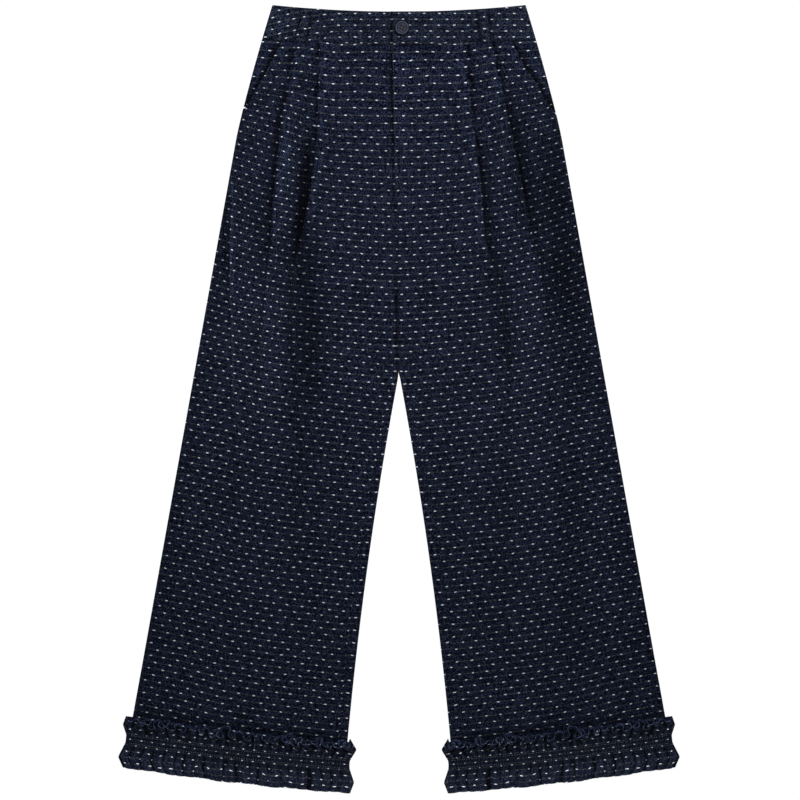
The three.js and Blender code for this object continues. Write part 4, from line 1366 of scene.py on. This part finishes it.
def front_ruffle(side, columns=620, rows=46):
    """A wave of the phase. In the heading the edge winds like a river: it sways
    twice a wave across and once a wave up and down, and stands up all along.
    In the frill the crests lean to one side. Both grow from the stitches,
    where narrow puckers take their place."""
    part, offset, up, down, u, y, from_end = along_strip(columns, rows)
    away = up + down
    slip = 0.12 * np.sin(29 * part + 0.5) * up + 0.16 * np.sin(37 * part + 2.4) * down
    turn = 2 * np.pi * (wave_phase(part) + slip)
    size = 1 + 0.36 * np.sin(23 * part + 1.3) + 0.26 * np.sin(57 * part + 0.4)
    crest = 0.5 - 0.5 * np.cos(turn)
    inward = ease(from_end, 0, 9)

    u = u + inward * size * up**2 * HEADING["sway"] * np.sin(2 * turn)
    u = u - inward * size * ease(down, 0.05, 0.8) * FRILL["lean"] * np.sin(turn)
    wander = 1.7 * np.sin(47 * part + 1) + 1.2 * np.sin(88 * part + 2)
    y = y + up**2 * (HEADING["wind"] * size * np.cos(turn + 0.3) + wander - HEADING["sinks"])
    y = y + ease(down, 0.4, 1) * (0.25 * size * np.cos(turn + 0.9) + 0.6 * np.sin(31 * part))
    stand = lerp(crest, 1 - 0.22 * (1 - crest), up**1.5)
    tall = lerp(HEADING["low"], HEADING["high"], ease(up, 0, 1))
    z = FRONT_FLOOR + tall * stand * size**0.5 - FRILL["low"] * down
    z = z + FRILL["swell"] * ease(down, 0, 0.7) * crest**0.6 * size**0.5
    pucker = np.exp(-((away / PUCKER["width"]) ** 2)) * inward
    fine = np.sin(PUCKER["turns"] * turn + 2 * np.sin(19 * part))
    z = z + PUCKER["height"] * pucker * fine - HEADING["low"] * (1 - ease(from_end, 0, 8))
    small = ease(np.sin(2.4 * turn + 5 * part + 4 * away), 0.2, 1.0) * ease(away, 0.1, 0.5)
    z = z + 0.5 * small * inward

    ridge = np.sin(1.7 * turn + 3 * np.sin(13 * part)) * np.sin(np.pi * np.clip(up * 1.15, 0, 1))
    shade = ruffle_shade(part, up, down, u, turn, crest, pucker, fine, small, ridge)
    z = z + 0.5 * np.maximum(0, ridge) * inward
    rows_down = (offset + RUFFLE["row_at"]) / RUFFLE["row_pitch"] + 0.5
    rows_down = rows_down + 0.1 * np.sin(1.3 * turn + 9 * part) * ease(away, 0.1, 0.5)
    uv = np.stack([DASHES_ROUND * part + 0 * z, rows_down + 0 * z], axis=2)
    return np.stack([side * u, y, z], axis=2), uv, shade


def back_ruffle(side, columns=300, rows=20):
    """The back of the strip lies under the leg: a flatter wave that hangs down
    from just under the back panel, with painted shade in its troughs."""
    part, offset, up, down, u, y, _ = along_strip(columns, rows)
    crest = 0.5 - 0.5 * np.cos(2 * np.pi * wave_phase(part))
    height = np.minimum(BACK_TOP - 0.62, lerp(1.1, 2.6, ease(up + down, 0, 1)))
    z = BACK_TOP - height * crest
    uv = np.stack([DASHES_ROUND * part + 0 * z, offset / RUFFLE["under_pitch"] + 0 * part], axis=2)
    return np.stack([side * u, y, z], axis=2), uv, 0.75 + 0.3 * crest + 0 * z


ruffle_grids = {}
for name, half in HALVES.items():
    side = half["side"]
    grid, uv, shade = front_ruffle(side)
    ruffle_grids[name] = grid
    piece = wall(f"hem_ruffle_{name}", grid, uv, shade, RUFFLE_CLOTH, FRONT_STRIP, side)
    under = [f"front_panel_{name}"]
    dress(piece, f"ruffle_front_{name}")
    print(piece.name, len(piece.data.polygons), "faces")
    grid, uv, shade = back_ruffle(side)
    piece = wall(f"hem_ruffle_under_{name}", grid, uv, shade, RUFFLE_CLOTH, side=side)
    under = ["studio_floor"]
    dress(piece, f"ruffle_back_{name}")
    print(piece.name, len(piece.data.polygons), "faces")

# %% [markdown]
# ## Button and stitches
#
# Stitches could be a dashed line in the colour of the cloth. Each one here is
# a short tube of its own, because the light catches its rounded side. The
# button is turned plastic with a raised rim and four holes, and brown thread
# crosses between them. Its face could be a disc with holes cut by a boolean.
# Instead it is one height map over a disc, so no cut leaves ragged faces.

# %% Stitch maker
STITCH_SIDES = 6
STITCH_RINGS = np.array([-0.5, -0.42, -0.2, 0.2, 0.42, 0.5])


def stitches(name, start, end, material, radius=0.28, arch=0.35):
    """Thread from each start to each end, two arrays of points: a tube whose
    rings swell from the cloth by an arch of 1 - (2t)^2 and narrow at its ends."""
    start, end = np.asarray(start, float), np.asarray(end, float)
    along = (end - start)[:, None, None, :]
    up = np.array([0.0, 0.0, 1.0])
    across = np.cross(along, up)
    across = across / np.linalg.norm(across, axis=-1, keepdims=True)
    t = STITCH_RINGS[None, :, None, None]
    angle = np.linspace(0, 2 * np.pi, STITCH_SIDES, endpoint=False)[None, None, :, None]
    girth = radius * np.sqrt(1.04 - (2 * t) ** 2)
    middle = (start + end)[:, None, None, :] / 2 + t * along + arch * (1 - (2 * t) ** 2) * up
    points = middle + girth * (np.cos(angle) * across + np.sin(angle) * up)
    count, rings = len(start), len(STITCH_RINGS)
    index = np.arange(count * rings * STITCH_SIDES).reshape(count, rings, STITCH_SIDES)
    after = np.roll(index, -1, axis=2)
    quads = np.stack([index[:, :-1], index[:, 1:], after[:, 1:], after[:, :-1]], axis=3).reshape(-1, 4)
    faces = quads.tolist() + index[:, 0].tolist() + index[:, -1, ::-1].tolist()
    mesh = bpy.data.meshes.new(name)
    mesh.from_pydata((points.reshape(-1, 3) * MM).tolist(), [], faces)
    corners = points.size // 3
    made = finish_mesh(name, mesh, np.zeros((corners, 2)), np.ones(corners), material, len(quads))
    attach(made, BODY_NAME)
    return made


def thread(name, colour):
    """Plain matte thread, a little uneven in colour."""
    made = bpy.data.materials.new(name)
    made.use_nodes = True
    n = Nodes(made.node_tree)
    shader = made.node_tree.nodes["Principled BSDF"]
    fleck = n.noise(n.node("ShaderNodeTexCoord").outputs["Object"], 700.0)
    darker = tuple(0.6 * c for c in colour)
    n.put(shader.inputs["Base Color"], n.mix(fleck, (*darker, 1), (*colour, 1)))
    shader.inputs["Roughness"].default_value = 0.8
    shader.inputs["Specular IOR Level"].default_value = 0.1
    return made


def top_of(grid, x, y, thickness=CLOTH):
    """The height of a panel's face at points x, y, read along the row that
    passes nearest to each."""
    z = np.empty(len(x))
    for i in range(len(x)):
        row = np.argmin(np.abs(grid[:, np.argmin(np.abs(grid[0, :, 0] - x[i])), 1] - y[i]))
        across = np.abs(grid[row, :, 0])
        z[i] = np.interp(abs(x[i]), np.maximum.accumulate(across), grid[row, :, 2])
    return z + thickness / 2


NAVY_THREAD = thread("navy_thread", (0.080, 0.088, 0.11))
PALE_THREAD = thread("pale_thread", (0.20, 0.215, 0.24))
UMBER_THREAD = thread("umber_thread", (0.15, 0.12, 0.10))
print("a stitch has", STITCH_SIDES * (len(STITCH_RINGS) - 1) + 2, "faces")

# %% Sew the fly and the ruffles
FLY_STITCH = dict(inside=2.4, top=440.0, bottom=262.0, pitch=3.4, length=2.3)
GATHER_STITCH = dict(pitch=3.0, length=1.3, jitter=0.5, seed=5, radius=0.4, lift=0.5, from_end=5)

y = np.arange(FLY_STITCH["bottom"], FLY_STITCH["top"], FLY_STITCH["pitch"])
x = read(CENTRE_LINE, "x", y) + FLY_STITCH["inside"]
z = top_of(panel_grids["right"], x, y)
start = np.stack([x, y, z], axis=1)
stitches("fly_stitches", start, start + [0, FLY_STITCH["length"], 0], NAVY_THREAD)
chance = np.random.default_rng(GATHER_STITCH["seed"])
for name, half in HALVES.items():
    grid = ruffle_grids[name]
    offsets = np.linspace(RUFFLE["heading"], RUFFLE["frill"], grid.shape[1])
    for row, offset in (("upper", RUFFLE["upper"]), ("lower", 0.0)):
        line = grid[:, np.argmin(np.abs(offsets - offset))]
        reach = np.abs(line[:, 0])
        from_end = GATHER_STITCH["from_end"]
        u = np.arange(reach[0] + from_end, reach[-1] - from_end, GATHER_STITCH["pitch"])
        u = u + chance.uniform(-1, 1, len(u)) * GATHER_STITCH["jitter"]
        ends = []
        for v in (u, u + GATHER_STITCH["length"]):
            y = np.interp(v, reach, line[:, 1])
            z = np.interp(v, reach, line[:, 2]) + GATHER_STITCH["lift"]
            ends.append(np.stack([half["side"] * v, y, z], axis=1))
        piece = stitches(f"gather_stitches_{row}_{name}", *ends, PALE_THREAD, GATHER_STITCH["radius"])
        print(piece.name, len(u), "stitches")

# %% Bar tacks on the belt loops
BAR_TACK = dict(foot=0.05, top=0.95, half_width=4.0, pitch=1.6, leans=0.9, length=1.6, lift=0.15)

for name in ("left", "right"):
    place = LOOPS["name"].index(f"front_{name}")
    for end in ("foot", "top"):
        part_up = BAR_TACK[end]
        middle = lerp(LOOPS["bottom"][place], LOOPS["top"][place], part_up)
        x = middle + np.arange(-BAR_TACK["half_width"], BAR_TACK["half_width"], BAR_TACK["pitch"])
        z = np.full_like(x, LOOP_ON_BAND + CLOTH / 2 + BAR_TACK["lift"])
        start = np.stack([x, loop_y(x, part_up) - BAR_TACK["length"] / 2, z], axis=1)
        slant = [BAR_TACK["leans"], BAR_TACK["length"], 0]
        stitches(f"bar_tack_{name}_{end}", start, start + slant, NAVY_THREAD)
print("bar tacks: four")

# %% The button's shape
# From the face out: how far inside the edge, how far below the top, and the painted light: painted shade
# in the groove and at the edge, a painted highlight on the rim.
RIM = dict(
    inward=[3.1, 2.8, 2.5, 2.2, 1.9, 1.6, 1.3, 1.0, 0.75, 0.5, 0.25, 0],
    down=[0.8, 0.85, 0.8, 0.55, 0.25, 0.08, 0, 0, 0.05, 0.15, 0.4, 0.9],
    shade=[0.7, 0.3, 0.1, 0.1, 0.5, 1.3, 1.9, 1.9, 1.5, 0.8, 0.3, 0.1],
)
HOLE_DEPTH = 1.6
# A thread ends inside a hole, this many times hole_from out from the middle.
THREAD_REACH = 1.15


def button_grid(steps_round=96, steps_out=40):
    """A closed surface of revolution, from the middle of the face out over the
    rim and back under. Within a hole's radius the face drops by HOLE_DEPTH and is painted almost black as
    shade."""
    b = BUTTON
    radius, height = b["radius"], b["height"]
    face = np.linspace(0, radius - RIM["inward"][0] - 0.2, steps_out)
    under = np.array([radius, radius - 0.3, radius - 1, 0.001])
    r = np.concatenate([face, radius - np.array(RIM["inward"]), under])
    face_z, under_z = np.full(steps_out, height - b["dish"]), [0.9, 0.4, 0, 0]
    z = np.concatenate([face_z, height - np.array(RIM["down"]), under_z])
    tone = np.concatenate([np.full(steps_out, 0.9), RIM["shade"], np.full(len(under), 0.2)])
    angle = np.linspace(0, 2 * np.pi, steps_round, endpoint=False)[:, None]
    x, y = r * np.cos(angle), r * np.sin(angle)
    z = z + 0 * x
    across, along = r * np.cos(angle + b["turned"]), r * np.sin(angle + b["turned"])
    nearest = np.hypot(np.abs(across) - b["hole_from"], np.abs(along) - b["hole_from"])
    hole = (1 - ease(nearest, b["hole"] - 0.25, b["hole"] + 0.15)) * (z > 1.2)
    return x, y, z - HOLE_DEPTH * hole, tone * (1 - 0.99 * hole)


x, y, z, shade = button_grid()
steps_round, steps = x.shape
base_z = FRONT_BAND_MIDDLE + BAND + GAP + BAND / 2 + GAP
MERGE_WITHIN = 0.00001
corners = np.stack([x + BUTTON["x"], y + BUTTON["y"], z + base_z], axis=2).reshape(-1, 3) * MM
index = np.arange(steps_round * steps).reshape(steps_round, steps)
after = np.roll(index, -1, axis=0)
quads = np.stack([index[:, :-1], index[:, 1:], after[:, 1:], after[:, :-1]], axis=2).reshape(-1, 4)
mesh = bpy.data.meshes.new("button_disc")
mesh.from_pydata(corners.tolist(), [], quads.tolist())
mesh.update()
print("button:", len(mesh.vertices), "points")

# %% The button's plastic
plastic = bpy.data.materials.new("slate_button")
plastic.use_nodes = True
n = Nodes(plastic.node_tree)
shader = plastic.node_tree.nodes["Principled BSDF"]
swirl = n.noise(n.node("ShaderNodeTexCoord").outputs["Object"], 260.0, 4.0)
marbled = n.mix(n.remap(swirl, 0.35, 0.65), (0.030, 0.035, 0.055, 1), (0.044, 0.050, 0.078, 1))
# The disc's colour is multiplied by the painted light and shade that it carries.
carried = n.node("ShaderNodeAttribute", attribute_name="fold_shade").outputs["Fac"]
n.put(shader.inputs["Base Color"], n.mix(1.0, marbled, carried, "MULTIPLY"))
shader.inputs["Specular IOR Level"].default_value = 0.12
n.put(shader.inputs["Roughness"], n.remap(swirl, 0.2, 0.8, 0.42, 0.6, "LINEAR"))
print("button material:", plastic.name)

# %% Place the button and its thread
no_uv = np.zeros((len(corners), 2))
button = finish_mesh("button_disc", mesh, no_uv, shade.ravel(), plastic, len(mesh.polygons))
bpy.context.view_layer.objects.active = button
button.select_set(True)
bpy.ops.object.mode_set(mode="EDIT")
bpy.ops.mesh.select_all(action="SELECT")
bpy.ops.mesh.remove_doubles(threshold=MERGE_WITHIN)
bpy.ops.mesh.normals_make_consistent(inside=False)
bpy.ops.object.mode_set(mode="OBJECT")
button.select_set(False)
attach(button, BODY_NAME)
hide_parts("waist_button")
turns = -BUTTON["turned"] + np.pi * np.array([0.25, 0.75])
reach = np.stack([np.cos(turns), np.sin(turns), 0 * turns], axis=1) * BUTTON["hole_from"] * THREAD_REACH
middle = np.array([BUTTON["x"], BUTTON["y"], base_z + BUTTON["height"] - BUTTON["dish"] - 0.1])
stitches("button_thread", middle - reach, middle + reach, UMBER_THREAD, radius=0.24, arch=0.3)
print("button:", len(mesh.polygons), "faces")
